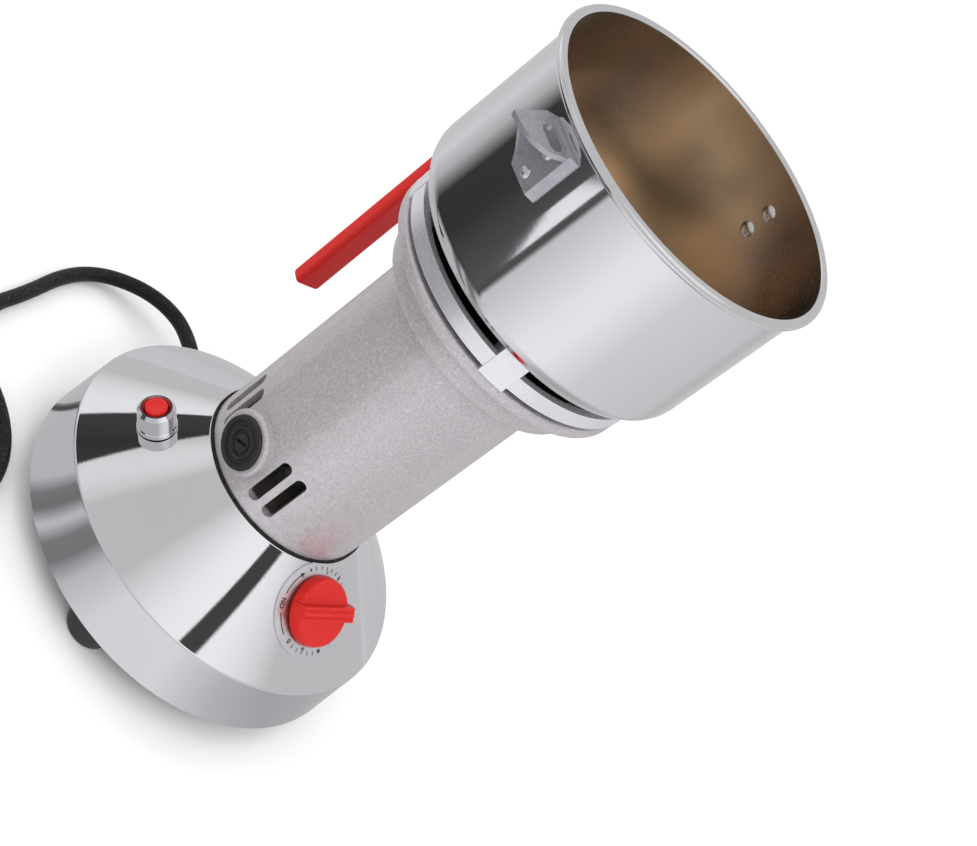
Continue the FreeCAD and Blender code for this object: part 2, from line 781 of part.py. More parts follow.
def make_bowl():
    corner = bowl_corner_r * (1 - math.sqrt(0.5))
    inner_corner_r = bowl_corner_r - bowl_wall
    inner_corner = inner_corner_r * (1 - math.sqrt(0.5))
    lip_cut = rim_lip * (1 - math.sqrt(0.5))
    flare = rim_z - 2 * rim_bead_r
    bead_r = rim_r - rim_bead_r
    bowl = lathe([
        (bowl_hole_r, bowl_z), (bowl_r - bowl_corner_r, bowl_z),
        ((bowl_r - corner, bowl_z + corner), (bowl_r, bowl_z + bowl_corner_r)),
        (bowl_r, flare), (bead_r, flare),
        ((rim_r, rim_z - rim_bead_r), (bead_r, rim_z)),
        (bowl_inner_r + rim_lip, rim_z),
        ((bowl_inner_r + lip_cut, rim_z - lip_cut), (bowl_inner_r, rim_z - rim_lip)),
        (bowl_inner_r, bowl_floor + inner_corner_r),
        ((bowl_inner_r - inner_corner, bowl_floor + inner_corner), (bowl_inner_r - inner_corner_r, bowl_floor)),
        (bowl_hole_r, bowl_floor)])
    bowl = softened(bowl, 0.9, [(bowl_r, flare)])
    cutters = [cylinder(bowl_screw_r + screw_gap, bowl_z - 1, bowl_floor + 1, polar(bowl_screw_circle_r, a).x,
                        polar(bowl_screw_circle_r, a).y) for a in post_azimuths]
    for azimuth in (0, 180):
        for level in rivet_levels:
            hole = cylinder(rivet_r + screw_gap, bowl_inner_r - catch_t, bowl_r + catch_t)
            cutters.append(out_from_axis(hole, azimuth, level))
    save("bowl", without(bowl, cutters))
    screw = pan_screw(bowl_screw_r, bowl_floor - collar_z - collar_skin - thread_short, bowl_screw_head_h)
    save("bowl_screws", Part.Compound([
        moved(screw, polar(bowl_screw_circle_r, a, bowl_floor)) for a in post_azimuths]))


def make_seal():
    low = bowl_z - carrier_t
    flange_top = bowl_floor + seal_flange_t
    seal = lathe([(shaft_r + running_gap, low), (bowl_hole_r - slip_gap, low),
                  (bowl_hole_r - slip_gap, bowl_floor), (seal_flange_r, bowl_floor),
                  (seal_flange_r, bowl_floor + 1.0), (seal_flange_r - 1.2, flange_top),
                  (shaft_r + 3.5, flange_top), (shaft_r + 2.5, flange_top + seal_lip_h),
                  (shaft_r + running_gap, flange_top + seal_lip_h)])
    save("shaft_seal", seal)


def blade(radius, z, bend):
    """A two-ended cutter bar whose tips are ground to a slanting edge and may bend up."""
    half = blade_w / 2
    tip = half * 0.45
    flat_r = blade_bend_r if bend else radius
    tip_share = (radius - flat_r) / (radius - half)
    flat_half = half * (1 - tip_share) + tip * tip_share
    bar = prism([(-flat_r, -flat_half), (-half, -half), (half, -half), (flat_r, -flat_half),
                 (flat_r, flat_half), (half, half), (-half, half), (-flat_r, flat_half)], z, z + blade_t)
    if not bend:
        return bar
    turn = math.radians(blade_bend_deg)
    wing = prism([(flat_r, -flat_half), (radius, -tip), (radius, tip), (flat_r, flat_half)], z, z + blade_t)
    wing.rotate(Vector(flat_r, 0, z + blade_t), Vector(0, 1, 0), -blade_bend_deg)
    fill = face_of([(flat_r, z + blade_t), (flat_r, z),
                    ((flat_r + blade_t * math.sin(turn / 2), z + blade_t - blade_t * math.cos(turn / 2)),
                     (flat_r + blade_t * math.sin(turn), z + blade_t - blade_t * math.cos(turn)))],
                   lambda a, b: Vector(a, -flat_half, b)).extrude(Vector(0, 2 * flat_half, 0))
    wing = wing.fuse(fill)
    other = wing.copy()
    other.rotate(CENTRE, UP, 180)
    return joined([bar, wing, other])


def make_blades():
    hole = cylinder(journal_r + screw_gap, blade_low_z - blade_t, blade_high_z + 2 * (blade_t + blade_nut_h))
    low = blade(low_blade_r, blade_low_z, False).cut(hole)
    low.rotate(CENTRE, UP, 70)
    save("lower_blade", low)
    high = blade(high_blade_r, blade_high_z, True).cut(hole)
    high.rotate(CENTRE, UP, -20)
    save("upper_blade", high)
    save("blade_spacer", ring(spacer_r, journal_r + screw_gap, blade_low_z + blade_t, blade_high_z))
    low_z = blade_high_z + blade_t
    nut = hexagon(blade_nut_af, low_z, low_z + blade_nut_h)
    dome = Part.makeSphere(blade_nut_af * 0.62, Vector(0, 0, low_z + blade_nut_h * 0.25))
    nut = nut.common(dome.fuse(cylinder(blade_nut_af, low_z, low_z + blade_nut_h * 0.7)))
    save("blade_nut", nut.cut(hole))


# Lid catches

def make_catch():
    """A catch at azimuth 0: a plate against the bowl whose top runs out into a drooping hook."""
    half = catch_w / 2
    back = bowl_r - 3
    front = bowl_r + catch_t
    outline = face_of([(-half, catch_low + catch_corner_cut), (-half + catch_corner_cut, catch_low),
                       (half, catch_low), (half, catch_high), (-half, catch_high)],
                      lambda x, z: Vector(x, -back, z))
    plate = outline.extrude(Vector(0, back - front, 0))
    slope = prism([(half, -front - 1), (half + 1, -front - 1), (half + 1, -bowl_r), (half, -bowl_r),
                   (half - catch_bevel, -front), (half - catch_bevel, -front - 1)],
                  catch_low - 1, catch_high + 1)
    plate = plate.cut(slope)
    tip = bowl_r + hook_reach
    bar_z = catch_high - hook_t
    inner = -bowl_r - catch_t
    hook = prism([(-half + 0.5, -back), (-hook_left, -bowl_r - catch_t), (-hook_left, -tip),
                  ((-hook_left / 3, -tip + 1.4), (hook_right - 2, -tip + hook_reach / 2)),
                  (hook_right, inner), (hook_right, -back)], bar_z, catch_high)
    slot_near = inner - 0.4
    slot_far = slot_near - hook_slot_w
    r = hook_slot_w / 2
    slot = prism([(-hook_slot_left + r, slot_near), (hook_slot_right - r, slot_near),
                  ((hook_slot_right, slot_near - r), (hook_slot_right - r, slot_far)),
                  (-hook_slot_left + r, slot_far),
                  ((-hook_slot_left, slot_near - r), (-hook_slot_left + r, slot_near))],
                 bar_z - 1, catch_high + 1)
    hook = hook.cut(slot)
    hook.rotate(Vector(0, -bowl_r, catch_high), Vector(1, 0, 0), hook_droop_deg)
    drop = math.tan(math.radians(hook_droop_deg))
    low_out = catch_high - hook_t - gusset_reach * drop
    gusset = face_of([(back, catch_low + catch_corner_cut), (bowl_r + catch_t, catch_low + catch_corner_cut),
                      (bowl_r + gusset_reach, low_out - 1), (bowl_r + gusset_reach, low_out + 0.8),
                      (back, catch_high - 1.0)],
                     lambda o, z: Vector(-half, -o, z)).extrude(Vector(gusset_t, 0, 0))
    catch = joined([plate, hook, gusset]).cut(cylinder(bowl_r + slip_gap, catch_low - 5, catch_high + 5))
    holes = [out_from_axis(cylinder(rivet_r + screw_gap, bowl_r - 5, bowl_r + 30), 0, rivet_levels[0]),
             out_from_axis(cylinder(rivet_r + screw_gap, bowl_r - 5, bowl_r + catch_t), 0, rivet_levels[1])]
    return without(catch, holes)


def make_rivets():
    """Domed rivets at azimuth 0, with a head inside the bowl and one on the catch's face."""
    inside = bowl_inner_r - rivet_seat
    outside = bowl_r + catch_t
    dome_r = (rivet_head_r ** 2 + rivet_head_h ** 2) / (2 * rivet_head_h)
    half = math.asin(rivet_head_r / dome_r) / 2
    side = dome_r * math.sin(half)
    drop = dome_r * (1 - math.cos(half))
    rivet = lathe([(0, inside - rivet_head_h),
                   ((side, inside - rivet_head_h + drop), (rivet_head_r, inside)),
                   (rivet_r, inside), (rivet_r, outside), (rivet_head_r, outside),
                   ((side, outside + rivet_head_h - drop), (0, outside + rivet_head_h))])
    return [out_from_axis(rivet, 0, level) for level in rivet_levels]


def make_catches():
    catch = make_catch()
    rivets = make_rivets()
    save("catch_front", catch)
    save("catch_rear", turned(catch, 180))
    save("catch_rivets", Part.Compound(rivets + [turned(rivet, 180) for rivet in rivets]))


# Handle

def strap_screw_spot(side):
    """Where a strap screw enters the collar from below, on one side of the strap's line."""
    out = polar(collar_screw_circle_r, handle_azimuth)
    across = polar(1, handle_azimuth + 90)
    return out + across * (side * collar_screw_pitch / 2)


def make_handle():
    half_w, half_d = handle_w / 2, handle_d / 2
    grip = box(-half_w, half_w, -handle_axis_r - half_d, -handle_axis_r + half_d, handle_low, handle_high)
    long_edges = [e for e in grip.Edges if abs(e.BoundBox.ZLength - (handle_high - handle_low)) < 1e-6]
    grip = grip.makeFillet(handle_round, long_edges)
    for level, share in ((handle_low, 0.95), (handle_high, 0.5)):
        ends = [e for e in grip.Edges if e.BoundBox.ZLength < 1e-6 and abs(e.BoundBox.ZMin - level) < 1e-6]
        grip = grip.makeFillet(handle_round * share, ends)
    strap_top = collar_z
    strap_low = strap_top - strap_t
    strap_end = handle_axis_r + half_d - strap_end_wall
    strap = box(-strap_w / 2, strap_w / 2, -strap_end, -strap_start, strap_low, strap_top)
    strap = strap.cut(cylinder(step_r + slip_gap, strap_low - 1, strap_top + 1))
    narrow = handle_w / 2 - strap_wall
    inner_face = handle_axis_r - half_d
    for side in (-1, 1):
        edge = sorted((side * narrow, side * handle_w))
        strap = strap.cut(box(edge[0], edge[1], -strap_end - 1, -inner_face + slip_gap,
                              strap_low - 1, strap_top + 1))
    pocket = box(-narrow - slip_gap, narrow + slip_gap, -strap_end - slip_gap, -inner_face + 1,
                 strap_low - slip_gap, strap_top + slip_gap)
    head_seat = handle_high - handle_screw_head_h - 0.2
    screw_holes = [cylinder(handle_screw_r + screw_gap, handle_screw_end, handle_high + 1, 0, -handle_axis_r),
                   cylinder(handle_screw_head_r + slip_gap, head_seat, handle_high + 1, 0, -handle_axis_r)]
    grip = without(grip, [pocket] + screw_holes)
    strap = strap.cut(cylinder(handle_screw_r + slip_gap, strap_low - 1, strap_top + 1, 0, -handle_axis_r))
    strap = turned(strap, handle_azimuth)
    collar_screw = upside_down(pan_screw(collar_screw_r, strap_t + collar_screw_depth, collar_screw_head_h))
    collar_screws = []
    for side in (-1, 1):
        spot = strap_screw_spot(side)
        strap = strap.cut(cylinder(collar_screw_r + screw_gap, strap_low - 1, strap_top + 1, spot.x, spot.y))
        collar_screws.append(moved(collar_screw, Vector(spot.x, spot.y, strap_low)))
    save("handle_grip", turned(grip, handle_azimuth))
    save("handle_bracket", strap)
    save("handle_bracket_screws", Part.Compound(collar_screws))
    head_share = handle_screw_head_r / handle_screw_r
    screw = pan_screw(handle_screw_r, head_seat - handle_screw_end, handle_screw_head_h, head_share)
    save("handle_screw", turned(moved(screw, Vector(0, -handle_axis_r, head_seat)), handle_azimuth))


# Timer and overload reset, both set square to the cone

def make_timer():
    disc = on_cone(cylinder(dial_r, -12, 12), timer_r, timer_azimuth)
    lift = dial_t / math.cos(cone_slope)
    low_r, high_r = shoulder_r - 3, neck_r + 0.2
    skin = lathe([(low_r, cone_z(low_r)), (low_r, cone_z(low_r) + lift),
                  (high_r, cone_z(high_r) + lift), (high_r, cone_z(high_r))])
    hole = on_cone(cylinder(timer_bush_r + panel_gap, -15, 15), timer_r, timer_azimuth)
    save("dial_plate", disc.common(skin).cut(hole))
    save("timer_knob", on_cone(knob(), timer_r, timer_azimuth))
    shaft_low = -shell_wall - timer_box_d / 2
    shaft = cylinder(timer_shaft_r, shaft_low, knob_lift + knob_h - 3.2)
    save("timer_shaft", on_cone(shaft, timer_r, timer_azimuth))
    half = timer_box / 2
    box_top = -shell_wall - 2.3
    body = box(-half, half, -half, half, box_top - timer_box_d, box_top)
    upright = [e for e in body.Edges if abs(e.BoundBox.ZLength - timer_box_d) < 1e-6]
    body = body.makeFillet(3.0, upright)
    bush = cylinder(timer_bush_r, box_top - 1, dial_t + timer_nut_h + 0.4)
    bore = cylinder(timer_shaft_r + running_gap, shaft_low - 0.5, dial_t + timer_nut_h + 2)
    save("timer_body", on_cone(joined([body, bush]).cut(bore), timer_r, timer_azimuth))
    nut = hexagon(timer_nut_af, dial_t + 0.1, dial_t + timer_nut_h).cut(
        cylinder(timer_bush_r + screw_gap, 0, 9))
    save("timer_nut", on_cone(nut, timer_r, timer_azimuth))


def knob():
    """The timer's knob above its dial: a disc with a ridged finger bar along X."""
    low = knob_lift
    top = low + knob_base_h
    high = low + knob_h
    disc = lathe([(0, low), (knob_r, low), (knob_r, low + 1.2), (knob_r - 0.9, top), (0, top)])
    disc = softened(disc, 1.2, [(knob_r - 0.9, top)])
    half = knob_bar_w / 2
    bar = face_of([(-half, low + 1.5), (half, low + 1.5), (half - knob_bar_taper, high),
                   (-half + knob_bar_taper, high)],
                  lambda a, b: Vector(-knob_r, a, b)).extrude(Vector(2 * knob_r + knob_overhang, 0, 0))
    limit = lathe([(0, low), (knob_r + knob_overhang, low), (knob_r + knob_overhang, top),
                   (knob_r - 0.6, high), (0, high)])
    bar = bar.common(limit)
    grooves = []
    for side in (-1, 1):
        offset = side * (half - knob_bar_taper) * 0.45
        grooves.append(Part.makeCylinder(knob_rib_w / 2, 3 * knob_r, Vector(-1.5 * knob_r, offset, high),
                                         Vector(1, 0, 0)))
    body = without(joined([disc, bar]), grooves)
    cavity = cylinder(knob_r - knob_wall - 3, low - 1, dial_t + timer_nut_h + 0.8)
    bore = cylinder(timer_shaft_r + screw_gap, low - 1, high - 3)
    return without(body, [cavity, bore])


def make_reset():
    seat = 0.25
    closed = reset_nut_h - 2.6
    nut = lathe([(reset_bush_r + slip_gap, seat), (reset_flange_r, seat), (reset_flange_r, reset_flange_h - 0.4),
                 (reset_nut_r, reset_flange_h), (reset_nut_r, reset_nut_h - 1.4),
                 (reset_nut_r - 1.4, reset_nut_h), (reset_button_r + 1.2, reset_nut_h),
                 (reset_button_r + 0.35, reset_nut_h - 1.2), (reset_button_r + 0.35, closed),
                 (reset_bush_r + slip_gap, closed)])
    save("reset_nut", on_cone(nut, reset_r, reset_azimuth))
    travel_room = 3.0
    button_low = 3.0
    dish = Part.makeSphere(8, Vector(0, 0, reset_button_h + 7.2))
    button = cylinder(reset_button_r, button_low, reset_button_h)
    button = softened(button, 0.9, [(reset_button_r, reset_button_h)]).cut(dish)
    save("reset_button", on_cone(button, reset_r, reset_azimuth))
    box_top = -shell_wall - 0.7
    body = box(-breaker_w / 2, breaker_w / 2, -breaker_l / 2, breaker_l / 2, box_top - breaker_d, box_top)
    bush = cylinder(reset_bush_r, box_top - 1, closed - 0.3)
    bore = cylinder(reset_button_r + 0.35, button_low - travel_room, closed + 1)
    save("overload_breaker", on_cone(joined([body, bush]).cut(bore), reset_r, reset_azimuth))


# Supply lead: strain relief, inner tail, terminal block, free lead, coil and plug

def relief_way():
    """Which way the lead leaves: outwards, tilted down."""
    tilt = math.radians(relief_tilt_deg)
    return polar(math.cos(tilt), lead_exit_azimuth, -math.sin(tilt))


def relief_root():
    return polar(skirt_at(lead_exit_z) + relief_seat + relief_flange_t, lead_exit_azimuth, lead_exit_z)


def relief_tip():
    return relief_root() + relief_way() * relief_cone_l


def make_relief():
    skirt = skirt_at(lead_exit_z)
    inner = skirt - shell_wall - relief_seat
    outer = skirt + relief_seat
    tail = inner - relief_nut_t
    grip = lathe([(0, tail), (relief_nut_r, tail), (relief_nut_r, inner), (relief_neck_radius, inner),
                  (relief_neck_radius, outer), (relief_flange_r, outer),
                  (relief_flange_r, outer + relief_flange_t), (0, outer + relief_flange_t)])
    grip = softened(grip, 0.6, [(relief_flange_r, outer + relief_flange_t)])
    grip = out_from_axis(grip, lead_exit_azimuth, lead_exit_z)
    sunk = 1.6
    cone = Part.makeCone(relief_root_radius, relief_tip_radius, relief_cone_l + sunk)
    rings = 4
    pitch = relief_cone_l / (rings + 0.6)
    for k in range(rings):
        level = sunk + pitch * (k + 0.6)
        radius = relief_root_radius + (relief_tip_radius - relief_root_radius) * level / relief_cone_l
        cone = cone.cut(ring(radius + 2, radius - 0.5, level, level + pitch * 0.4))
    cone = set_on(cone, relief_root() - relief_way() * sunk, relief_way())
    cone = cone.common(box(-2 * base_r, 0, -base_r, 2 * base_r, lead_exit_z - 1.5 * relief_flange_r,
                             lead_exit_z + 1.5 * relief_flange_r))
    cone = cone.cut(cylinder(skirt + relief_seat, base_z, lead_exit_z + 15))
    relief = joined([grip, cone]).cut(cylinder(skirt_at(plate_top) - shell_wall, 0, plate_top + panel_gap))
    save("strain_relief", relief)
    block_face = block_r + block_l / 2
    inner_lead = cylinder(lead_d / 2, block_face, tail)
    save("inner_lead", out_from_axis(inner_lead, lead_exit_azimuth, lead_exit_z))
    block = box(-block_w / 2, block_w / 2, -block_r - block_l / 2, -block_r + block_l / 2,
                plate_top, plate_top + block_h)
    wells = [cylinder(2.2, plate_top + block_h - 5, plate_top + block_h + 1, x, -block_r + y)
             for x in (-5, 0, 5) for y in (-6, 6)]
    save("terminal_block", turned(without(block, wells), lead_exit_azimuth))


def rounded_path(points):
    """Straight runs joined by the largest tangent arcs that fit; returns edges and the radii."""
    edges = []
    radii = []
    here = points[0]
    for k in range(1, len(points) - 1):
        before, corner, after = points[k - 1], points[k], points[k + 1]
        run_in, run_out = corner - before, after - corner
        turn = run_in.getAngle(run_out)
        radius = 0.45 * min(run_in.Length, run_out.Length) / math.tan(turn / 2)
        reach = radius * math.tan(turn / 2)
        way_in, way_out = run_in.normalize(), run_out.normalize()
        start = corner - way_in * reach
        end = corner + way_out * reach
        inward = (way_out - way_in).normalize()
        centre = corner + inward * (radius / math.cos(turn / 2))
        edges.append(Part.LineSegment(here, start).toShape())
        edges.append(Part.Arc(start, centre - inward * radius, end).toShape())
        radii.append(radius)
        here = end
    edges.append(Part.LineSegment(here, points[-1]).toShape())
    return edges, radii


def pipe(edges, radius):
    path = Part.Wire(edges)
    start = edges[0].Vertexes[0].Point
    way = (edges[0].Vertexes[-1].Point - start).normalize()
    circle = Part.Wire([Part.Circle(start, way, radius).toShape()])
    return path.makePipeShell([circle], True, False)


def coil_edges():
    """The coil's middle line: quarter turns drawn in, a climbing half turn, then out again."""
    centre = Vector(coil_x, coil_y, lead_floor)
    step = coil_pitch / 4
    angle = math.radians(coil_start_azimuth)
    radius = coil_inner_r + step * coil_in_quarters
    hub = Vector(centre)
    spot = hub + Vector(math.cos(angle), math.sin(angle), 0) * radius

    def heading():
        return Vector(math.sin(angle), -math.cos(angle), 0)

    edges = [Part.LineSegment(spot - heading() * lead_d, spot).toShape()]
    start = spot - heading() * lead_d
    way_in = heading()

    def quarter():
        nonlocal angle, spot
        middle_angle = angle - math.pi / 4
        end_angle = angle - math.pi / 2
        middle = hub + Vector(math.cos(middle_angle), math.sin(middle_angle), 0) * radius
        end = hub + Vector(math.cos(end_angle), math.sin(end_angle), 0) * radius
        edges.append(Part.Arc(spot, middle, end).toShape())
        angle = end_angle
        spot = end

    for _ in range(coil_in_quarters):
        quarter()
        hub = hub + Vector(math.cos(angle), math.sin(angle), 0) * step
        radius -= step
    way = heading()
    across = Vector(-math.cos(angle), -math.sin(angle), 0) * (2 * radius)
    end = spot + across + Vector(0, 0, coil_rise)
    reach = (end - spot).Length / 2
    middle = (spot + end) * 0.5 + way * reach
    slant = (end - spot).normalize()
    near_hub = spot + slant * reach
    cos45 = math.sqrt(0.5)
    edges.append(Part.Arc(spot, near_hub + (way - slant) * (reach * cos45), middle).toShape())
    edges.append(Part.Arc(middle, near_hub + (way + slant) * (reach * cos45), end).toShape())
    angle -= math.pi
    spot = end
    hub = Vector(spot) - Vector(math.cos(angle), math.sin(angle), 0) * radius
    for _ in range(coil_out_quarters):
        radius += step
        hub = hub - Vector(math.cos(angle), math.sin(angle), 0) * step
        quarter()
    tail = spot + heading() * coil_tail
    edges.append(Part.LineSegment(spot, tail).toShape())
    return edges, start, way_in, tail, heading()


def least_gap(edges, diameter):
    """The least free gap between stretches of the coil that aren't neighbours along it."""
    points = []
    along = 0.0
    for edge in edges:
        count = max(2, int(edge.Length / 3))
        for k in range(count):
            points.append((along + edge.Length * k / count, edge.valueAt(
                edge.FirstParameter + (edge.LastParameter - edge.FirstParameter) * k / count)))
        along += edge.Length
    least = 1e9
    for i, (s, p) in enumerate(points):
        for t, q in points[i + 1:]:
            if t - s > 12 * diameter:
                least = min(least, (p - q).Length)
    return least - diameter


def make_lead():
    start = relief_tip()
    edges, coil_start, coil_way, coil_end, coil_end_way = coil_edges()
    route = [start] + [Vector(*point) for point in lead_route] + [coil_start]
    tube_edges, radii = rounded_path(route)
    tube = pipe(tube_edges, lead_d / 2)
    length = sum(edge.Length for edge in tube_edges)
    print("lead radii", ["%.0f" % r for r in radii])
    print("lead length %.1f, volume share %.4f" % (length, tube.Volume / (length * math.pi * lead_d ** 2 / 4)))
    print("angle into the coil %.2f deg" % math.degrees((coil_start - route[-2]).getAngle(coil_way)))
    save("power_lead", tube)
    coil = pipe(edges, lead_d / 2)
    coil_length = sum(edge.Length for edge in edges)
    share = coil.Volume / (coil_length * math.pi * lead_d ** 2 / 4)
    print("coil length %.1f, volume share %.4f" % (coil_length, share))
    print("coil least gap %.2f" % least_gap(edges, lead_d))
    save("lead_coil", coil)
    body, pins = plug_pieces()
    save("plug", laid_at(body, coil_end, coil_end_way))
    save("plug_pins", laid_at(pins, coil_end, coil_end_way))


def plug_pieces():
    """A moulded three-pin plug along +Z and its pins, with +Y up."""
    half_h = plug_h / 2
    half_w = plug_w / 2
    relief = Part.makeCone(relief_tip_radius, plug_relief_r, plug_relief_l + 1)
    body = box(-half_w, half_w, -half_h, half_h, plug_relief_l, plug_relief_l + plug_l)
    body_edges = [e for e in body.Edges if abs(e.BoundBox.ZLength - plug_l) < 1e-6]
    body = body.makeFillet(plug_round, body_edges)
    back = [e for e in body.Edges if abs(e.BoundBox.Center.z - plug_relief_l) < 1e-6
            and e.BoundBox.ZLength < 1e-6]
    body = body.makeFillet(plug_round * 0.9, back)
    body = joined([relief, body])
    face = plug_relief_l + plug_l
    pins = []
    for side in (-1, 1):
        x = side * blade_pin_pitch / 2
        pins.append(box(x - blade_pin_t / 2, x + blade_pin_t / 2, pin_rise - blade_pin_w / 2,
                        pin_rise + blade_pin_w / 2, face - pin_root, face + blade_pin_l))
    earth = Part.makeCylinder(earth_pin_r, earth_pin_l + pin_root,
                              Vector(0, -earth_pin_drop, face - pin_root))
    pins.append(softened(earth, earth_pin_r * 0.6, [(earth_pin_r, face + earth_pin_l)]))
    return without(body, pins), Part.Compound(pins)


def laid_at(shape, at, way):
    """Carry a shape built along +Z, with +Y up, to lie along a level direction."""
    side = UP.cross(way)
    matrix = FreeCAD.Matrix(side.x, 0, way.x, at.x, side.y, 0, way.y, at.y, 0, 1, 0, at.z, 0, 0, 0, 1)
    copy = shape.copy()
    copy.Placement = FreeCAD.Placement(matrix)
    return copy


make_base_shell()
make_base_plate()
make_feet()
make_motor_housing()
make_gasket_and_screws()
make_brackets()
make_stator()
make_rotor()
make_fan()
make_brush_gear()
make_vent_ring()
make_bowl()
make_seal()
make_blades()
make_catches()
make_handle()
make_timer()
make_reset()
make_relief()
make_lead()

os.makedirs("parts", exist_ok=True)
for name, shape in parts.items():
    print("%-24s solids %d valid %s volume %.1f" % (name, len(shape.Solids), shape.isValid(), shape.Volume))
    shape.exportStep("parts/%s.step" % name)
print(len(parts), "nodes")
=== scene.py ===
import math

import bmesh
import bpy
from mathutils import Matrix, Vector


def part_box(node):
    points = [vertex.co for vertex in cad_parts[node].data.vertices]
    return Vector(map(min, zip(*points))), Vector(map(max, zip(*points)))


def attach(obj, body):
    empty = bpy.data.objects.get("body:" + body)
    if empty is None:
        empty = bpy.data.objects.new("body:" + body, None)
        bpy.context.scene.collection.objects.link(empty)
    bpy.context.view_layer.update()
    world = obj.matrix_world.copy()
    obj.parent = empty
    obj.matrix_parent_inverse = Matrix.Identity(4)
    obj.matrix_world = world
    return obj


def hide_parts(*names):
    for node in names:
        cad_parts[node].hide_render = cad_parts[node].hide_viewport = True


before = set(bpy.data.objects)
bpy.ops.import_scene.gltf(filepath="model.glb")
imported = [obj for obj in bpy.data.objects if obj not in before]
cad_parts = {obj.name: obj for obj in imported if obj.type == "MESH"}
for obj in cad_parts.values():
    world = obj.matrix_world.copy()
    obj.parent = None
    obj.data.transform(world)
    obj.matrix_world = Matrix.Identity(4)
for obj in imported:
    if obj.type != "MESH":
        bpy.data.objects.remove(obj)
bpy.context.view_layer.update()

bl_info = {
    "name": "Grain Mill Builder",
    "version": (1, 0, 0),
    "blender": (4, 5, 0),
    "location": "View3D > Sidebar > Grain Mill",
    "description": "Dresses an electric grain mill with finished pieces and materials",
    "category": "Object",
}

MM = 0.001

# Sizes the pieces share with the frame, in metres
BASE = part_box("base_shell")
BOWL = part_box("bowl")
BASE_R = BASE[1][0]
BASE_LOW = BASE[0][2]
NECK_Z = BASE[1][2]
RIM_R = BOWL[1][0]
RIM_Z = BOWL[1][2]
BOWL_Z = BOWL[0][2]
SHOULDER_R = 85.0 * MM
SHOULDER_Z = 41.7 * MM
NECK_R = 42.5 * MM
CONE_SLOPE = math.atan2(NECK_Z - SHOULDER_Z, SHOULDER_R - NECK_R)
DIAL_R = 57.5 * MM
DIAL_FACE = 0.8 * MM
BOWL_R = 69.24 * MM
BOWL_WALL = 1.0 * MM
LEAD_EXIT_AZIMUTH = -108.3
RIVET_LEVELS = (284.0 * MM, 295.4 * MM)
RIVET_SWELL = 1.35


# Small helpers for places

def polar(radius, azimuth, z=0.0):
    turn = math.radians(azimuth)
    return Vector((radius * math.sin(turn), -radius * math.cos(turn), z))


def cone_z(radius):
    return SHOULDER_Z + (SHOULDER_R - radius) * math.tan(CONE_SLOPE)


def on_dial(x, y, lift=0.0):
    """A point on the printed dial: x runs along +Y of the frame, y up the cone."""
    normal = Vector((math.sin(CONE_SLOPE), 0, math.cos(CONE_SLOPE)))
    up_slope = Vector((-math.cos(CONE_SLOPE), 0, math.sin(CONE_SLOPE)))
    centre = Vector((DIAL_R, 0, cone_z(DIAL_R)))
    point = centre + Vector((0, 1, 0)) * x + up_slope * y
    for _ in range(3):
        radius = math.hypot(point.x, point.y)
        height = (radius - DIAL_R) * normal.x + (point.z - centre.z) * normal.z
        point += normal * (DIAL_FACE + lift - height)
    return point


# Meshes

def put(name, data):
    """A new object in the scene that holds this data."""
    made = bpy.data.objects.new(name, data)
    bpy.context.scene.collection.objects.link(made)
    return made


def finish_mesh(name, bm, smooth_deg=None):
    """Turn a bmesh into an object at the origin, smooth but for edges over an angle."""
    mesh = bpy.data.meshes.new(name)
    if smooth_deg is not None:
        limit = math.radians(smooth_deg)
        for face in bm.faces:
            face.smooth = True
        for edge in bm.edges:
            edge.smooth = len(edge.link_faces) == 2 and edge.calc_face_angle(0) < limit
    bm.to_mesh(mesh)
    bm.free()
    return put(name, mesh)


def rounded_outline(corners, steps=6):
    """A closed (radius, height) outline whose corners (r, z, fillet) are rounded."""
    outline = []
    count = len(corners)
    for k, (r, z, fillet) in enumerate(corners):
        here = Vector((r, z))
        if fillet <= 0:
            outline.append(here)
            continue
        before = (Vector(corners[k - 1][:2]) - here).normalized()
        after = (Vector(corners[(k + 1) % count][:2]) - here).normalized()
        half = before.angle(after) / 2
        reach = fillet / math.tan(half)
        centre = here + (before + after).normalized() * (fillet / math.sin(half))
        start = here + before * reach - centre
        end = here + after * reach - centre
        for step in range(steps + 1):
            share = step / steps
            way = (start * (1 - share) + end * share).normalized()
            outline.append(centre + way * fillet)
    return outline


def with_supports(outline, gap=0.2 * MM, least=3.0 * MM):
    """The outline with points near the ends of its long runs, so that these reflect as true flats."""
    held = []
    for here, after in zip(outline, outline[1:] + outline[:1]):
        held.append(here)
        run = after - here
        if run.length > least:
            held += [here + run.normalized() * gap, after - run.normalized() * gap]
    return held


def lathe(name, corners, segments=160, smooth_deg=28):
    """A turned ring or solid about the motor's axis from a closed outline of corners."""
    outline = with_supports(rounded_outline(corners))
    bm = bmesh.new()
    rings = []
    for point in outline:
        if point.x < 1e-7:
            rings.append([bm.verts.new((0, 0, point.y))] * segments)
        else:
            rings.append([bm.verts.new(polar(point.x, 360 * k / segments, point.y))
                          for k in range(segments)])
    for a in range(len(rings)):
        low, high = rings[a], rings[(a + 1) % len(rings)]
        for k in range(segments):
            n = (k + 1) % segments
            corners_here = []
            for vert in (low[k], low[n], high[n], high[k]):
                if vert not in corners_here:
                    corners_here.append(vert)
            if len(corners_here) > 2:
                bm.faces.new(corners_here)
    bmesh.ops.recalc_face_normals(bm, faces=bm.faces)
    return finish_mesh(name, bm, smooth_deg)


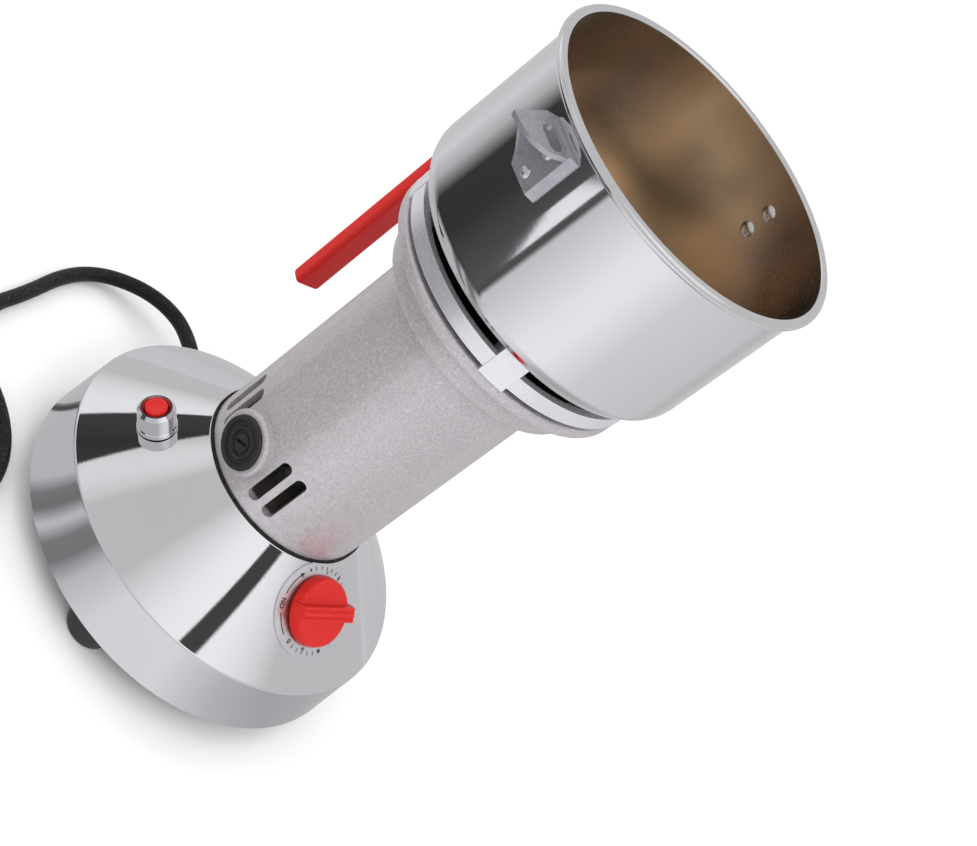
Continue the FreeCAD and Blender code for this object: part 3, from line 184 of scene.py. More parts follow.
def smooth_copy(node, name, smooth_deg=32, bevel=0.0):
    """A welded and smoothly shaded copy of a node, with its edges broken by a small bevel."""
    bm = bmesh.new()
    bm.from_mesh(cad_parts[node].data)
    bmesh.ops.remove_doubles(bm, verts=bm.verts, dist=2e-6)
    bmesh.ops.dissolve_limit(bm, angle_limit=math.radians(1.0), verts=bm.verts, edges=bm.edges)
    bmesh.ops.recalc_face_normals(bm, faces=bm.faces)
    piece = finish_mesh(name, bm, smooth_deg)
    if bevel:
        edge = piece.modifiers.new("Edge", "BEVEL")
        edge.width = bevel
        edge.segments = 2
        edge.limit_method = "ANGLE"
        edge.angle_limit = math.radians(smooth_deg)
        edge.use_clamp_overlap = True
        edge.harden_normals = True
    return piece


def dress(finish, *nodes):
    """Give nodes of the frame a finish."""
    for node in nodes:
        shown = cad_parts[node]
        if not shown.data.materials:
            shown.data.materials.append(material(finish))
        for place in shown.material_slots:
            place.material = material(finish)


def cover(piece, body, finish, *nodes):
    """Set a finished piece on its body, in place of its nodes."""
    piece.data.materials.clear()
    piece.data.materials.append(material(finish))
    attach(piece, body)
    if nodes:
        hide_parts(*nodes)
    return piece


def refine(node, name, body, finish, smooth_deg=30, bevel=0.0):
    """A finished copy of a node, on its body and in its place."""
    return cover(smooth_copy(node, name, smooth_deg, bevel), body, finish, node)


# Node trees

class Bench:
    """Adds and links nodes in a tree with few words."""

    def __init__(self, tree):
        self.tree = tree

    def add(self, kind, settings=None, **inputs):
        node = self.tree.nodes.new(kind)
        for key, value in (settings or {}).items():
            setattr(node, key, value)
        for key, value in inputs.items():
            self.set(node, key.replace("_", " "), value)
        return node

    def set(self, node, key, value):
        socket = node.inputs[int(key)] if key.isdigit() else node.inputs[key]
        if isinstance(value, bpy.types.NodeSocket):
            self.tree.links.new(value, socket)
        else:
            socket.default_value = value

    def math(self, operation, a, b=0.0, c=0.0):
        node = self.add("ShaderNodeMath", {"operation": operation})
        for k, value in enumerate((a, b, c)):
            self.set(node, str(k), value)
        return node.outputs[0]

    def times(self, a, b):
        return self.math("MULTIPLY", a, b)

    def plus(self, a, b):
        return self.math("ADD", a, b)

    def hypot(self, a, b):
        return self.math("SQRT", self.plus(self.times(a, a), self.times(b, b)))

    def dot(self, a, b):
        node = self.add("ShaderNodeVectorMath", {"operation": "DOT_PRODUCT"})
        self.set(node, "0", a)
        self.set(node, "1", b)
        return node.outputs["Value"]

    def place(self):
        return self.add("ShaderNodeTexCoord").outputs["Object"]

    def split(self, vector):
        return self.add("ShaderNodeSeparateXYZ", None, Vector=vector).outputs

    def spread(self, value, low, high, to_low=0.0, to_high=1.0):
        node = self.add("ShaderNodeMapRange")
        for key, number in zip(("Value", "From Min", "From Max", "To Min", "To Max"),
                               (value, low, high, to_low, to_high)):
            self.set(node, key, number)
        return node.outputs["Result"]

    def blend(self, share, a, b):
        node = self.add("ShaderNodeMix", {"data_type": "RGBA"})
        self.set(node, "0", share)
        self.set(node, "6", a)
        self.set(node, "7", b)
        return node.outputs[2]

    def noise(self, vector, scale, detail=3.0, rough=0.5):
        return self.add("ShaderNodeTexNoise", None, Vector=vector, Scale=scale, Detail=detail,
                        Roughness=rough).outputs["Fac"]


# Geometry Nodes

def new_tree(name, inputs):
    """A geometry tree with named inputs (name, socket type, default) and one output."""
    tree = bpy.data.node_groups.new(name, "GeometryNodeTree")
    tree.interface.new_socket("Geometry", in_out="INPUT", socket_type="NodeSocketGeometry")
    for label, kind, value in inputs:
        socket = tree.interface.new_socket(label, in_out="INPUT", socket_type=kind)
        if kind != "NodeSocketMaterial":
            socket.default_value = value
    tree.interface.new_socket("Geometry", in_out="OUTPUT", socket_type="NodeSocketGeometry")
    return tree, tree.nodes.new("NodeGroupInput"), tree.nodes.new("NodeGroupOutput")


def grown(name, tree, values):
    """Run a geometry tree on an empty mesh and keep its result as a plain mesh."""
    piece = put(name, bpy.data.meshes.new(name))
    modifier = piece.modifiers.new("Shape", "NODES")
    modifier.node_group = tree
    for socket in tree.interface.items_tree:
        if socket.in_out == "INPUT" and socket.name in values:
            modifier[socket.identifier] = values[socket.name]
    depsgraph = bpy.context.evaluated_depsgraph_get()
    mesh = bpy.data.meshes.new_from_object(piece.evaluated_get(depsgraph))
    piece.modifiers.remove(modifier)
    piece.data = mesh
    return piece


def bars_tree():
    """Bars along an arc, a row or both: each turns by Step and moves on by Pitch from the one before."""
    tree, source, sink = new_tree("Bars", [
        ("Count", "NodeSocketInt", 5), ("First", "NodeSocketFloat", 0.0), ("Step", "NodeSocketFloat", 0.1),
        ("Radius", "NodeSocketFloat", 0.018), ("Pitch", "NodeSocketVector", (0.0, 0.0, 0.0)),
        ("Size", "NodeSocketVector", (0.001, 0.003, 0.001)), ("Material", "NodeSocketMaterial", None)])
    bench = Bench(tree)
    index = bench.add("GeometryNodeInputIndex").outputs[0]
    angle = bench.math("MULTIPLY_ADD", index, source.outputs["Step"], source.outputs["First"])
    on_arc = bench.add("ShaderNodeCombineXYZ", None,
                       X=bench.times(bench.math("SINE", angle), source.outputs["Radius"]),
                       Y=bench.times(bench.math("COSINE", angle), source.outputs["Radius"]))
    along = bench.add("ShaderNodeVectorMath", {"operation": "SCALE"})
    bench.set(along, "0", source.outputs["Pitch"])
    bench.set(along, "Scale", index)
    place = bench.add("ShaderNodeVectorMath", {"operation": "ADD"})
    bench.set(place, "0", on_arc.outputs[0])
    bench.set(place, "1", along.outputs[0])
    turn = bench.add("ShaderNodeCombineXYZ", None, Z=bench.times(angle, -1.0))
    line = bench.add("GeometryNodeMeshLine", None, Count=source.outputs["Count"])
    spots = bench.add("GeometryNodeSetPosition", None, Geometry=line.outputs[0], Position=place.outputs[0])
    bar = bench.add("GeometryNodeMeshCube", None, Size=source.outputs["Size"])
    stood = bench.add("GeometryNodeInstanceOnPoints", None, Points=spots.outputs[0],
                      Instance=bar.outputs["Mesh"], Rotation=turn.outputs[0])
    real = bench.add("GeometryNodeRealizeInstances", None, Geometry=stood.outputs[0])
    painted = bench.add("GeometryNodeSetMaterial", None, Geometry=real.outputs[0],
                        Material=source.outputs["Material"])
    bench.set(sink, "Geometry", painted.outputs[0])
    return tree


# Shader groups, each with values that change over the surface

def value_group(name, inputs, outputs):
    """An empty shader group whose sockets are numbers, and its bench and ends."""
    tree = bpy.data.node_groups.new(name, "ShaderNodeTree")
    for label, value in inputs:
        tree.interface.new_socket(label, in_out="INPUT", socket_type="NodeSocketFloat").default_value = value
    for label in outputs:
        tree.interface.new_socket(label, in_out="OUTPUT", socket_type="NodeSocketFloat")
    bench = Bench(tree)
    return bench, bench.add("NodeGroupInput"), bench.add("NodeGroupOutput")


def grain_group():
    """Fine casting or moulding grain: a height and a slow patch mask."""
    bench, source, sink = value_group("Grain", [("Scale", 900.0), ("Patch", 40.0)], ("Height", "Patch"))
    place = bench.place()
    fine = bench.noise(place, source.outputs["Scale"], 4.0, 0.65)
    cells = bench.add("ShaderNodeTexVoronoi", {"feature": "SMOOTH_F1"}, Vector=place,
                      Scale=source.outputs["Scale"]).outputs["Distance"]
    bench.set(sink, "Height", bench.plus(bench.times(fine, 0.6), bench.times(cells, 0.5)))
    bench.set(sink, "Patch", bench.noise(place, source.outputs["Patch"], 3.0))
    return bench.tree


def turned_lines_group():
    """Fine lines left round a turned piece, and a few deeper scratches along them."""
    bench, source, sink = value_group("Turned lines", [("Lines", 2500.0)], ("Lines", "Streaks"))
    x, y, z = bench.split(bench.place())
    across = bench.add("ShaderNodeCombineXYZ", None, X=bench.hypot(x, y), Y=z,
                       Z=bench.times(bench.math("ARCTAN2", x, y), 0.0015))
    bench.set(sink, "Lines", bench.noise(across.outputs[0], source.outputs["Lines"], 4.0, 0.6))
    coarse = bench.noise(across.outputs[0], bench.times(source.outputs["Lines"], 0.12), 2.0)
    bench.set(sink, "Streaks", bench.spread(coarse, 0.35, 0.65))
    return bench.tree


def wear_group():
    """A mask of edges rubbed bright by use, broken up by noise."""
    bench, source, sink = value_group("Edge wear", [("Amount", 0.5), ("Breakup", 300.0)], ("Edge",))
    pointed = bench.add("ShaderNodeNewGeometry").outputs["Pointiness"]
    place = bench.place()
    broken = bench.spread(bench.noise(place, source.outputs["Breakup"], 3.0), 0.3, 0.7)
    edge = bench.spread(pointed, 0.52, 0.60)
    bench.set(sink, "Edge", bench.times(bench.times(edge, broken), source.outputs["Amount"]))
    return bench.tree


def smudge_group():
    """Soft marks and dust that gather unevenly, for roughness."""
    bench, source, sink = value_group("Smudges", [("Scale", 30.0), ("Dust", 0.3)], ("Mark", "Dust"))
    place = bench.place()
    slow = bench.noise(place, source.outputs["Scale"], 5.0, 0.6)
    bench.set(sink, "Mark", bench.spread(slow, 0.38, 0.7))
    facing = bench.split(bench.add("ShaderNodeNewGeometry").outputs["Normal"])[2]
    speck = bench.spread(bench.noise(place, 1400.0, 2.0), 0.55, 0.75)
    upward = bench.spread(facing, 0.3, 1.0)
    bench.set(sink, "Dust", bench.times(bench.times(speck, upward), source.outputs["Dust"]))
    return bench.tree


GROUPS = {}


def group(name):
    """A shared shader group, built once."""
    builders = {"grain": grain_group, "lines": turned_lines_group, "wear": wear_group,
                "smudges": smudge_group}
    if name not in GROUPS:
        GROUPS[name] = builders[name]()
    return GROUPS[name]


# Materials

def begin(name, colour, metallic, roughness):
    """A new material with its bench and its Principled shader."""
    material = bpy.data.materials.new(name)
    material.use_nodes = True
    bench = Bench(material.node_tree)
    shader = material.node_tree.nodes["Principled BSDF"]
    shader.inputs["Base Color"].default_value = (*colour, 1.0)
    shader.inputs["Metallic"].default_value = metallic
    shader.inputs["Roughness"].default_value = roughness
    return material, bench, shader


def use(bench, name, **inputs):
    node = bench.add("ShaderNodeGroup", {"node_tree": group(name)}, **inputs)
    return node.outputs


def scaled(colour, share):
    return (*(channel * share for channel in colour), 1.0)


def bump(bench, shader, height, distance):
    node = bench.add("ShaderNodeBump", None, Height=height, Distance=distance, Strength=1.0)
    bench.set(shader, "Normal", node.outputs["Normal"])


def polished(name, colour, roughness, marks=0.03, line_depth=0.000004):
    """Mirror polished or plated metal with faint wipe marks and polishing lines."""
    material, bench, shader = begin(name, colour, 1.0, roughness)
    smudges = use(bench, "smudges", Scale=26.0, Dust=0.2)
    lines = use(bench, "lines", Lines=1800.0)
    rough = bench.plus(bench.times(smudges["Mark"], marks), bench.times(smudges["Dust"], 0.15))
    rough = bench.plus(rough, bench.times(lines["Streaks"], marks * 0.5))
    bench.set(shader, "Roughness", bench.plus(rough, roughness))
    dimmed = bench.times(smudges["Mark"], 0.25)
    bench.set(shader, "Base Color", bench.blend(dimmed, (*colour, 1.0), scaled(colour, 0.93)))
    bump(bench, shader, lines["Lines"], line_depth)
    return material


def turned_metal(name, colour, roughness, lines_scale=2500.0, depth=0.00002, tint=0.88, metallic=1.0):
    """Satin metal with turning or brushing lines that run round the axis."""
    material, bench, shader = begin(name, colour, metallic, roughness)
    lines = use(bench, "lines", Lines=lines_scale)
    smudges = use(bench, "smudges", Scale=40.0, Dust=0.3)
    wear = use(bench, "wear", Amount=0.6)
    tone = bench.blend(lines["Lines"], scaled(colour, tint), (*colour, 1.0))
    bench.set(shader, "Base Color", bench.blend(wear["Edge"], tone, scaled(colour, 1.12)))
    rough = bench.spread(lines["Lines"], 0.2, 0.8, roughness * 0.8, roughness * 1.25)
    rough = bench.plus(rough, bench.times(smudges["Mark"], 0.06))
    bench.set(shader, "Roughness", bench.plus(rough, smudges["Dust"]))
    bump(bench, shader, lines["Lines"], depth)
    return material


def filmed_steel(name, warm, bare, roughness):
    """Satin steel inside the bowl: a warm film, thinner and darker on one side."""
    # warm is a painted warm reflection as the base colour; bare is a darker grey painted reflection, not
    # bare steel
    material, bench, shader = begin(name, warm, 1.0, roughness)
    lines = use(bench, "lines", Lines=1500.0)
    smudges = use(bench, "smudges", Scale=24.0, Dust=0.3)
    place = bench.place()
    x, y, _ = bench.split(place)
    turn = bench.math("ARCTAN2", x, bench.times(y, -1.0))
    side = bench.math("COSINE", bench.math("SUBTRACT", turn, math.radians(140)))
    cloud = bench.noise(place, 16.0, 2.0)
    # Painted reflection: by azimuth and a slow cloud, one side turns from the warm painted reflection to the
    # darker grey one
    painted_dark_side = bench.spread(bench.plus(side, bench.times(cloud, 0.8)), 0.85, 1.4)
    tone = bench.blend(bench.spread(cloud, 0.35, 0.65), (*warm, 1.0), scaled(warm, 0.93))
    tone = bench.blend(painted_dark_side, tone, (*bare, 1.0))
    tone = bench.blend(bench.times(lines["Lines"], 0.07), tone, (*bare, 1.0))
    bench.set(shader, "Base Color", tone)
    bench.set(shader, "Roughness", bench.plus(bench.times(smudges["Mark"], 0.03), roughness))
    bump(bench, shader, lines["Lines"], 0.000004)
    return material


def cast_paint(name, colour, metallic, roughness, grain=1300.0, depth=0.00006, edge_tone=1.25):
    """Metallic paint or bare casting with a sandy grain and rubbed edges."""
    material, bench, shader = begin(name, colour, metallic, roughness)
    grains = use(bench, "grain", Scale=grain, Patch=18.0)
    wear = use(bench, "wear", Amount=0.7)
    smudges = use(bench, "smudges", Scale=35.0, Dust=0.4)
    flake = bench.spread(grains["Height"], 0.35, 0.75)
    tone = bench.blend(flake, scaled(colour, 0.78), scaled(colour, 1.16))
    tone = bench.blend(bench.times(grains["Patch"], 0.35), tone, scaled(colour, 0.9))
    bench.set(shader, "Base Color", bench.blend(wear["Edge"], tone, scaled(colour, edge_tone)))
    rough = bench.spread(grains["Height"], 0.3, 0.8, roughness * 0.85, roughness * 1.2)
    bench.set(shader, "Roughness", bench.plus(rough, bench.times(smudges["Dust"], 0.3)))
    bump(bench, shader, grains["Height"], depth)
    return material


def moulded(name, colour, roughness, grain=2200.0, depth=0.00001, worn=1.5, coat=0.0, shine=0.5):
    """Moulded plastic or rubber with a fine spark grain and paler edges."""
    material, bench, shader = begin(name, colour, 0.0, roughness)
    grains = use(bench, "grain", Scale=grain, Patch=30.0)
    wear = use(bench, "wear", Amount=0.5)
    smudges = use(bench, "smudges", Scale=45.0, Dust=0.5)
    tone = bench.blend(bench.times(grains["Patch"], 0.4), (*colour, 1.0), scaled(colour, 0.82))
    tone = bench.blend(wear["Edge"], tone, scaled([c + 0.02 for c in colour], worn))
    dusty = bench.times(smudges["Dust"], 0.3)
    bench.set(shader, "Base Color", bench.blend(dusty, tone, (0.45, 0.43, 0.40, 1.0)))
    rough = bench.plus(bench.times(smudges["Mark"], 0.12), roughness)
    bench.set(shader, "Roughness", bench.plus(rough, bench.times(grains["Height"], 0.05)))
    shader.inputs["Coat Weight"].default_value = coat
    shader.inputs["Specular IOR Level"].default_value = shine
    bump(bench, shader, grains["Height"], depth)
    return material


def wound_wire(name, colour):
    """Varnished copper wire: close strands that run along the slots."""
    material, bench, shader = begin(name, colour, 0.4, 0.35)
    place = bench.place()
    strands = bench.add("ShaderNodeTexWave", {"bands_direction": "DIAGONAL"}, Vector=place, Scale=420.0,
                        Distortion=1.5, Detail=2.0).outputs["Fac"]
    bench.set(shader, "Base Color", bench.blend(strands, scaled(colour, 0.45), scaled(colour, 1.15)))
    bump(bench, shader, strands, 0.0003)
    return material


def stacked_sheet(name, colour):
    """Laminated iron with its sheet edges showing along the axis."""
    material, bench, shader = begin(name, colour, 0.9, 0.5)
    place = bench.place()
    sheets = bench.add("ShaderNodeTexWave", {"bands_direction": "Z"}, Vector=place, Scale=300.0,
                       Distortion=0.2).outputs["Fac"]
    bench.set(shader, "Base Color", bench.blend(sheets, scaled(colour, 0.6), (*colour, 1.0)))
    bump(bench, shader, sheets, 0.0002)
    return material


def printed_ink(name, colour):
    """Screen printing ink, slightly uneven."""
    material, bench, shader = begin(name, colour, 0.0, 0.45)
    grains = use(bench, "grain", Scale=3500.0, Patch=200.0)
    paler = scaled([c + 0.02 for c in colour], 1.6)
    bench.set(shader, "Base Color", bench.blend(grains["Patch"], (*colour, 1.0), paler))
    bump(bench, shader, grains["Height"], 0.000006)
    return material


MATERIALS = {}


def material(name):
    """A finish by its slot name, built once."""
    look = bpy.context.scene.mill_finish
    steel, paint, red = look.steel, look.housing_paint, look.red_plastic
    makers = {
        "mirror_steel": lambda: polished("Mirror steel", steel, 0.012, 0.012, 0.0000012),
        "bowl_steel": lambda: polished("Bowl steel", (0.80, 0.79, 0.81), 0.045, 0.02),
        # bowl_inside: steel with a painted warm reflection, and a darker grey painted reflection on one side
        "bowl_inside": lambda: filmed_steel("Bowl inside", (0.97, 0.81, 0.63), (0.26, 0.23, 0.23), 0.25),
        "silver_paint": lambda: cast_paint("Sandy silver paint", paint, 0.55, 0.42, 1050.0, 0.00009),
        "vent_aluminium": lambda: turned_metal(
            "Vent aluminium", (0.78, 0.77, 0.81), 0.24, 1800.0, 0.000006, 0.95, metallic=0.7),
        "black_steel": lambda: cast_paint("Black enamel", (0.030, 0.028, 0.034), 0.0, 0.38, 700.0, 0.00003),
        "zinc_screw": lambda: turned_metal("Zinc plate", (0.62, 0.62, 0.60), 0.30, 3000.0),
        "foot_rubber": lambda: moulded("Foot rubber", (0.018, 0.018, 0.018), 0.62, 1500.0, 0.00002),
        "gasket_rubber": lambda: moulded("Gasket rubber", (0.008, 0.008, 0.008), 0.80, shine=0.2),
        "motor_bracket": lambda: cast_paint("Bare casting", (0.40, 0.40, 0.40), 0.9, 0.45, 900.0),
        "bearing_steel": lambda: turned_metal("Bearing steel", (0.66, 0.66, 0.68), 0.18, 4000.0),
        "lamination": lambda: stacked_sheet("Laminations", (0.22, 0.22, 0.23)),
        "winding": lambda: wound_wire("Enamelled wire", (0.45, 0.16, 0.05)),
        "shaft_steel": lambda: turned_metal("Ground shaft", (0.62, 0.62, 0.63), 0.20, 3500.0),
        "commutator_copper": lambda: turned_metal("Commutator copper", (0.72, 0.38, 0.22), 0.28, 3500.0),
        "black_plastic": lambda: moulded("Black plastic", (0.014, 0.014, 0.016), 0.36),
        "carbon": lambda: moulded("Pressed carbon", (0.035, 0.035, 0.038), 0.75, 1800.0, 0.00003),
        "blade_steel": lambda: polished("Blade steel", (0.62, 0.61, 0.60), 0.16, 0.10),
        "catch_metal": lambda: cast_paint(
            "Catch metal", (0.42, 0.42, 0.46), 0.75, 0.36, 1600.0, 0.00002, edge_tone=1.35),
        "rivet_metal": lambda: turned_metal("Rivet", (0.72, 0.72, 0.73), 0.22, 5000.0),
        "bracket_steel": lambda: polished("Bracket steel", (0.60, 0.60, 0.62), 0.20, 0.10),
        "red_plastic": lambda: moulded(
            "Red plastic", red, 0.30, 2600.0, 0.000006, worn=1.2, coat=0.06, shine=0.22),
        "dial_print": lambda: turned_metal("Dial plate", (0.76, 0.75, 0.79), 0.30, 2200.0, 0.000006, 0.95),
        "bright_nut": lambda: polished("Bright plate", (0.80, 0.80, 0.82), 0.05),
        "lead_sheath": lambda: moulded(
            "Lead sheath", (0.007, 0.007, 0.009), 0.36, 2400.0, 0.000008, shine=0.2),
        "plug_pin_metal": lambda: polished("Pin metal", (0.72, 0.66, 0.48), 0.22, 0.12),
        "ink": lambda: printed_ink("Dial ink", (0.02, 0.02, 0.022)),
    }
    if name not in MATERIALS:
        MATERIALS[name] = makers[name]()
    return MATERIALS[name]


# Values that a user would change

class MillFinish(bpy.types.PropertyGroup):
    steel: bpy.props.FloatVectorProperty(
        name="Base steel", description="Colour of the mirror-steel base", subtype="COLOR",
        default=(0.80, 0.79, 0.82), min=0, max=1)
    housing_paint: bpy.props.FloatVectorProperty(
        name="Housing paint", description="Colour of the motor housing's sandy paint", subtype="COLOR",
        default=(0.56, 0.53, 0.555), min=0, max=1)
    red_plastic: bpy.props.FloatVectorProperty(
        name="Red plastic", description="Colour of the handle, the knob and the reset", subtype="COLOR",
        default=(0.60, 0.014, 0.010), min=0, max=1)
    floor: bpy.props.FloatVectorProperty(
        name="Floor", description="Colour of the floor", subtype="COLOR", default=(0.93, 0.93, 0.93),
        min=0, max=1)


class MillLead(bpy.types.PropertyGroup):
    diameter: bpy.props.FloatProperty(
        name="Lead diameter", description="Outer diameter of the supply lead", default=7.0 * MM,
        unit="LENGTH")
    coil_inner: bpy.props.FloatProperty(
        name="Coil radius", description="Radius of the coil's innermost turn", default=34.0 * MM,
        unit="LENGTH")
    pitch: bpy.props.FloatProperty(
        name="Coil pitch", description="Distance from one turn of the coil to the next", default=8.8 * MM,
        unit="LENGTH")
    rise: bpy.props.FloatProperty(
        name="Coil rise", description="Height of the coil's upper layer over its lower one",
        default=7.5 * MM, unit="LENGTH")
    tail: bpy.props.FloatProperty(
        name="Tail", description="Straight lead between the coil and the plug", default=24.0 * MM,
        unit="LENGTH")


class MillView(bpy.types.PropertyGroup):
    lens: bpy.props.FloatProperty(
        name="Lens", description="Focal length on a 36 mm sensor", default=86.75, unit="CAMERA")
    roll: bpy.props.FloatProperty(
        name="Roll", description="How far the picture is turned", default=math.radians(53.164),
        subtype="ANGLE")
    light: bpy.props.FloatProperty(
        name="Light", description="Strength of the surrounding light", default=1.0, min=0, max=2)


# The stage and the camera

FLOOR_REACH = 30.0

# Directions round the two dark flags that metal shows overhead
FLAGS = [[(-0.855, -0.220, 0.471), (-0.918, 0.112, 0.379), (-0.836, -0.113, 0.536), (-0.545, -0.494, 0.677)],
         [(0.528, -0.199, 0.826), (0.573, 0.032, 0.819), (0.626, 0.233, 0.744), (0.594, -0.100, 0.798)]]

# Light levels on the mirrored disc by azimuth, near the mill and farther out
NEAR_LIGHTS = [(-180, 0.56), (-64, 0.52), (-61, 0.52), (-60.3, 0.07), (-57.5, 0.07), (-56.8, 0.52),
               (-27, 0.54), (-21, 0.20), (-15, 0.17), (-9, 0.60), (-3, 0.21), (4, 0.19), (12, 0.56),
               (28, 0.78), (56, 0.80), (78, 0.53), (100, 0.42), (180, 0.56)]
FAR_LIGHTS = [(-180, 0.59), (-110, 0.60), (-90, 0.70), (-72, 0.48), (-62, 0.18), (-56, 0.02),
              (-30, 0.02), (7, 0.08), (12.2, 0.05), (13.2, 0.62), (19, 0.66), (50, 0.93), (64, 0.95),
              (92, 0.72), (150, 0.62), (161, 0.52), (180, 0.59)]


def make_camera():
    """The camera as it stood for the photograph."""
    look = bpy.context.scene.mill_view
    azimuth = math.radians(25.2)
    spin = Matrix.Rotation(azimuth, 3, "Z")
    place = spin @ (Vector((49.35, -801.66, 664.87)) * MM)
    yaw, pitch = math.radians(-2.415), math.radians(29.742)
    forward = spin @ Vector((math.sin(yaw) * math.cos(pitch), math.cos(yaw) * math.cos(pitch),
                             -math.sin(pitch)))
    right = spin @ Vector((math.cos(yaw), -math.sin(yaw), 0))
    up = right.cross(forward)
    across = right * math.cos(look.roll) + up * math.sin(look.roll)
    top = up * math.cos(look.roll) - right * math.sin(look.roll)
    data = bpy.data.cameras.new("Camera")
    data.sensor_width = 36.0
    data.lens = look.lens
    data.shift_x, data.shift_y = -0.0391, -0.0811
    data.clip_start, data.clip_end = 0.05, 50
    camera = put("Camera", data)
    camera.matrix_world = Matrix((
        (across.x, top.x, -forward.x, place.x), (across.y, top.y, -forward.y, place.y),
        (across.z, top.z, -forward.z, place.z), (0, 0, 0, 1)))
    bpy.context.scene.camera = camera


def square(reach, height):
    return [(x * reach, y * reach, height) for x, y in ((-1, -1), (1, -1), (1, 1), (-1, 1))]


def flat_card(name, corners, colour, strength=None):
    """A flat stage panel through four corners."""
    mesh = bpy.data.meshes.new(name)
    mesh.from_pydata([tuple(c) for c in corners], [], [(0, 1, 2, 3)])
    card = put(name, mesh)
    made, _, shader = begin(name, colour, 0.0, 0.9)
    if strength is not None:
        shader.inputs["Emission Color"].default_value = (*colour, 1.0)
        shader.inputs["Emission Strength"].default_value = strength
        shader.inputs["Base Color"].default_value = (0, 0, 0, 1)
        card.visible_camera = False
        card.visible_diffuse = False
        card.visible_shadow = False
    mesh.materials.append(made)
    return card


def make_floor(look):
    floor = flat_card("Floor", square(FLOOR_REACH, 0), look.floor)
    bench = Bench(floor.data.materials[0].node_tree)
    shader = floor.data.materials[0].node_tree.nodes["Principled BSDF"]
    place = bench.place()
    tone = bench.spread(bench.noise(place, 3.0, 2.0), 0.3, 0.7, 0.99, 1.0)
    bench.set(shader, "Base Color", bench.blend(tone, (0.9, 0.9, 0.9, 1), (*look.floor, 1.0)))
    shader.inputs["Specular IOR Level"].default_value = 0.0


def lobe(bench, way, centre, wide, narrow, amount):
    """A soft patch of light round a direction: wide and narrow are cosines."""
    near = bench.dot(way, Vector(centre).normalized())
    return bench.times(bench.spread(near, wide, narrow), amount)


def patch(bench, way, corners, softness=0.003):
    """A crisp many-sided patch of the sky between directions that go round it."""
    middle = sum((Vector(c).normalized() for c in corners), Vector())
    share = 1.0
    for here, after in zip(corners, corners[1:] + corners[:1]):
        edge = Vector(here).cross(Vector(after)).normalized()
        if edge.dot(middle) < 0:
            edge = -edge
        share = bench.times(bench.spread(bench.dot(way, edge), -softness, softness), share)
    return share


def make_world(strength):
    """A pale studio. Metal also shows its soft lights and two dark flags overhead."""
    world = bpy.data.worlds.new("Studio")
    bpy.context.scene.world = world
    world.use_nodes = True
    bench = Bench(world.node_tree)
    way = bench.add("ShaderNodeTexCoord").outputs["Generated"]
    level = bench.plus(lobe(bench, way, (0.57, -0.08, 0.82), 0.80, 0.99, 0.42), 0.60)
    level = bench.plus(lobe(bench, way, (-0.93, -0.03, 0.40), 0.93, 1.0, 0.34), level)
    level = bench.plus(lobe(bench, way, (-0.60, -0.42, 0.70), 0.970, 1.0, 0.22), level)
    for flag in FLAGS:
        level = bench.times(level, bench.spread(patch(bench, way, flag), 0.0, 1.0, 1.0, 0.06))
    rays = bench.add("ShaderNodeLightPath")
    mirrored = bench.math("MAXIMUM", rays.outputs["Is Glossy Ray"], rays.outputs["Is Transmission Ray"])
    background = world.node_tree.nodes["Background"]
    plain = bench.math("MAXIMUM", rays.outputs["Is Camera Ray"], strength)
    bench.set(background, "Color", (1.0, 1.0, 1.0, 1.0))
    bench.set(background, "Strength", bench.blend(mirrored, plain, level))


def ring_of_lights(bench, turn, stops):
    """Light levels round the mill at these azimuths, as a ramp."""
    ramp = bench.add("ShaderNodeValToRGB", None, Fac=turn)
    elements = ramp.color_ramp.elements
    for k, (azimuth, level) in enumerate(stops):
        place = azimuth / 360 + 0.5
        element = elements[k] if k < 2 else elements.new(place)
        element.position = place
        element.color = (level, level, level * 1.02, 1.0)
    return ramp.outputs["Color"]


def make_mirrored_studio():
    """A disc just over the floor that only metal shows: the studio's lights and dark flags."""
    disc = flat_card("Mirrored studio", square(FLOOR_REACH, 0.3 * MM), (1, 1, 1), 1.0)
    tree = disc.data.materials[0].node_tree
    bench = Bench(tree)
    x, y, _ = bench.split(bench.place())
    radius = bench.hypot(x, y)
    turn = bench.math("ARCTAN2", x, bench.times(y, -1.0))
    share = bench.spread(turn, -math.pi, math.pi)
    near = ring_of_lights(bench, share, NEAR_LIGHTS)
    far = ring_of_lights(bench, share, FAR_LIGHTS)
    # A bright wedge inside the dark flag, between a slanting edge and a straight one
    edge = bench.spread(radius, 0.545, 0.612, math.radians(7.4), math.radians(-2.4))
    edge = bench.plus(edge, bench.spread(radius, 0.680, 0.705, 0.0, math.radians(9)))
    wedge = bench.math("LESS_THAN", turn, math.radians(7.3))
    wedge = bench.times(bench.math("GREATER_THAN", turn, edge), wedge)
    far = bench.blend(wedge, far, (0.93, 0.92, 0.95, 1.0))
    light = bench.blend(bench.spread(radius, 0.24, 0.32), near, far)
    light = bench.blend(bench.spread(radius, 0.9, 1.3), light, (0.6, 0.6, 0.61, 1.0))
    bench.set(tree.nodes["Principled BSDF"], "Emission Color", light)


def area_lamp(name, azimuth, height, distance, size, power):
    data = bpy.data.lights.new(name, "AREA")
    data.shape = "DISK"
    data.size = size
    data.energy = power
    lamp = put(name, data)
    place = polar(distance, azimuth, height)
    lamp.location = place
    lamp.rotation_euler = (Vector((0, 0, 0.17)) - place).to_track_quat("-Z", "Y").to_euler()
    lamp.visible_glossy = False


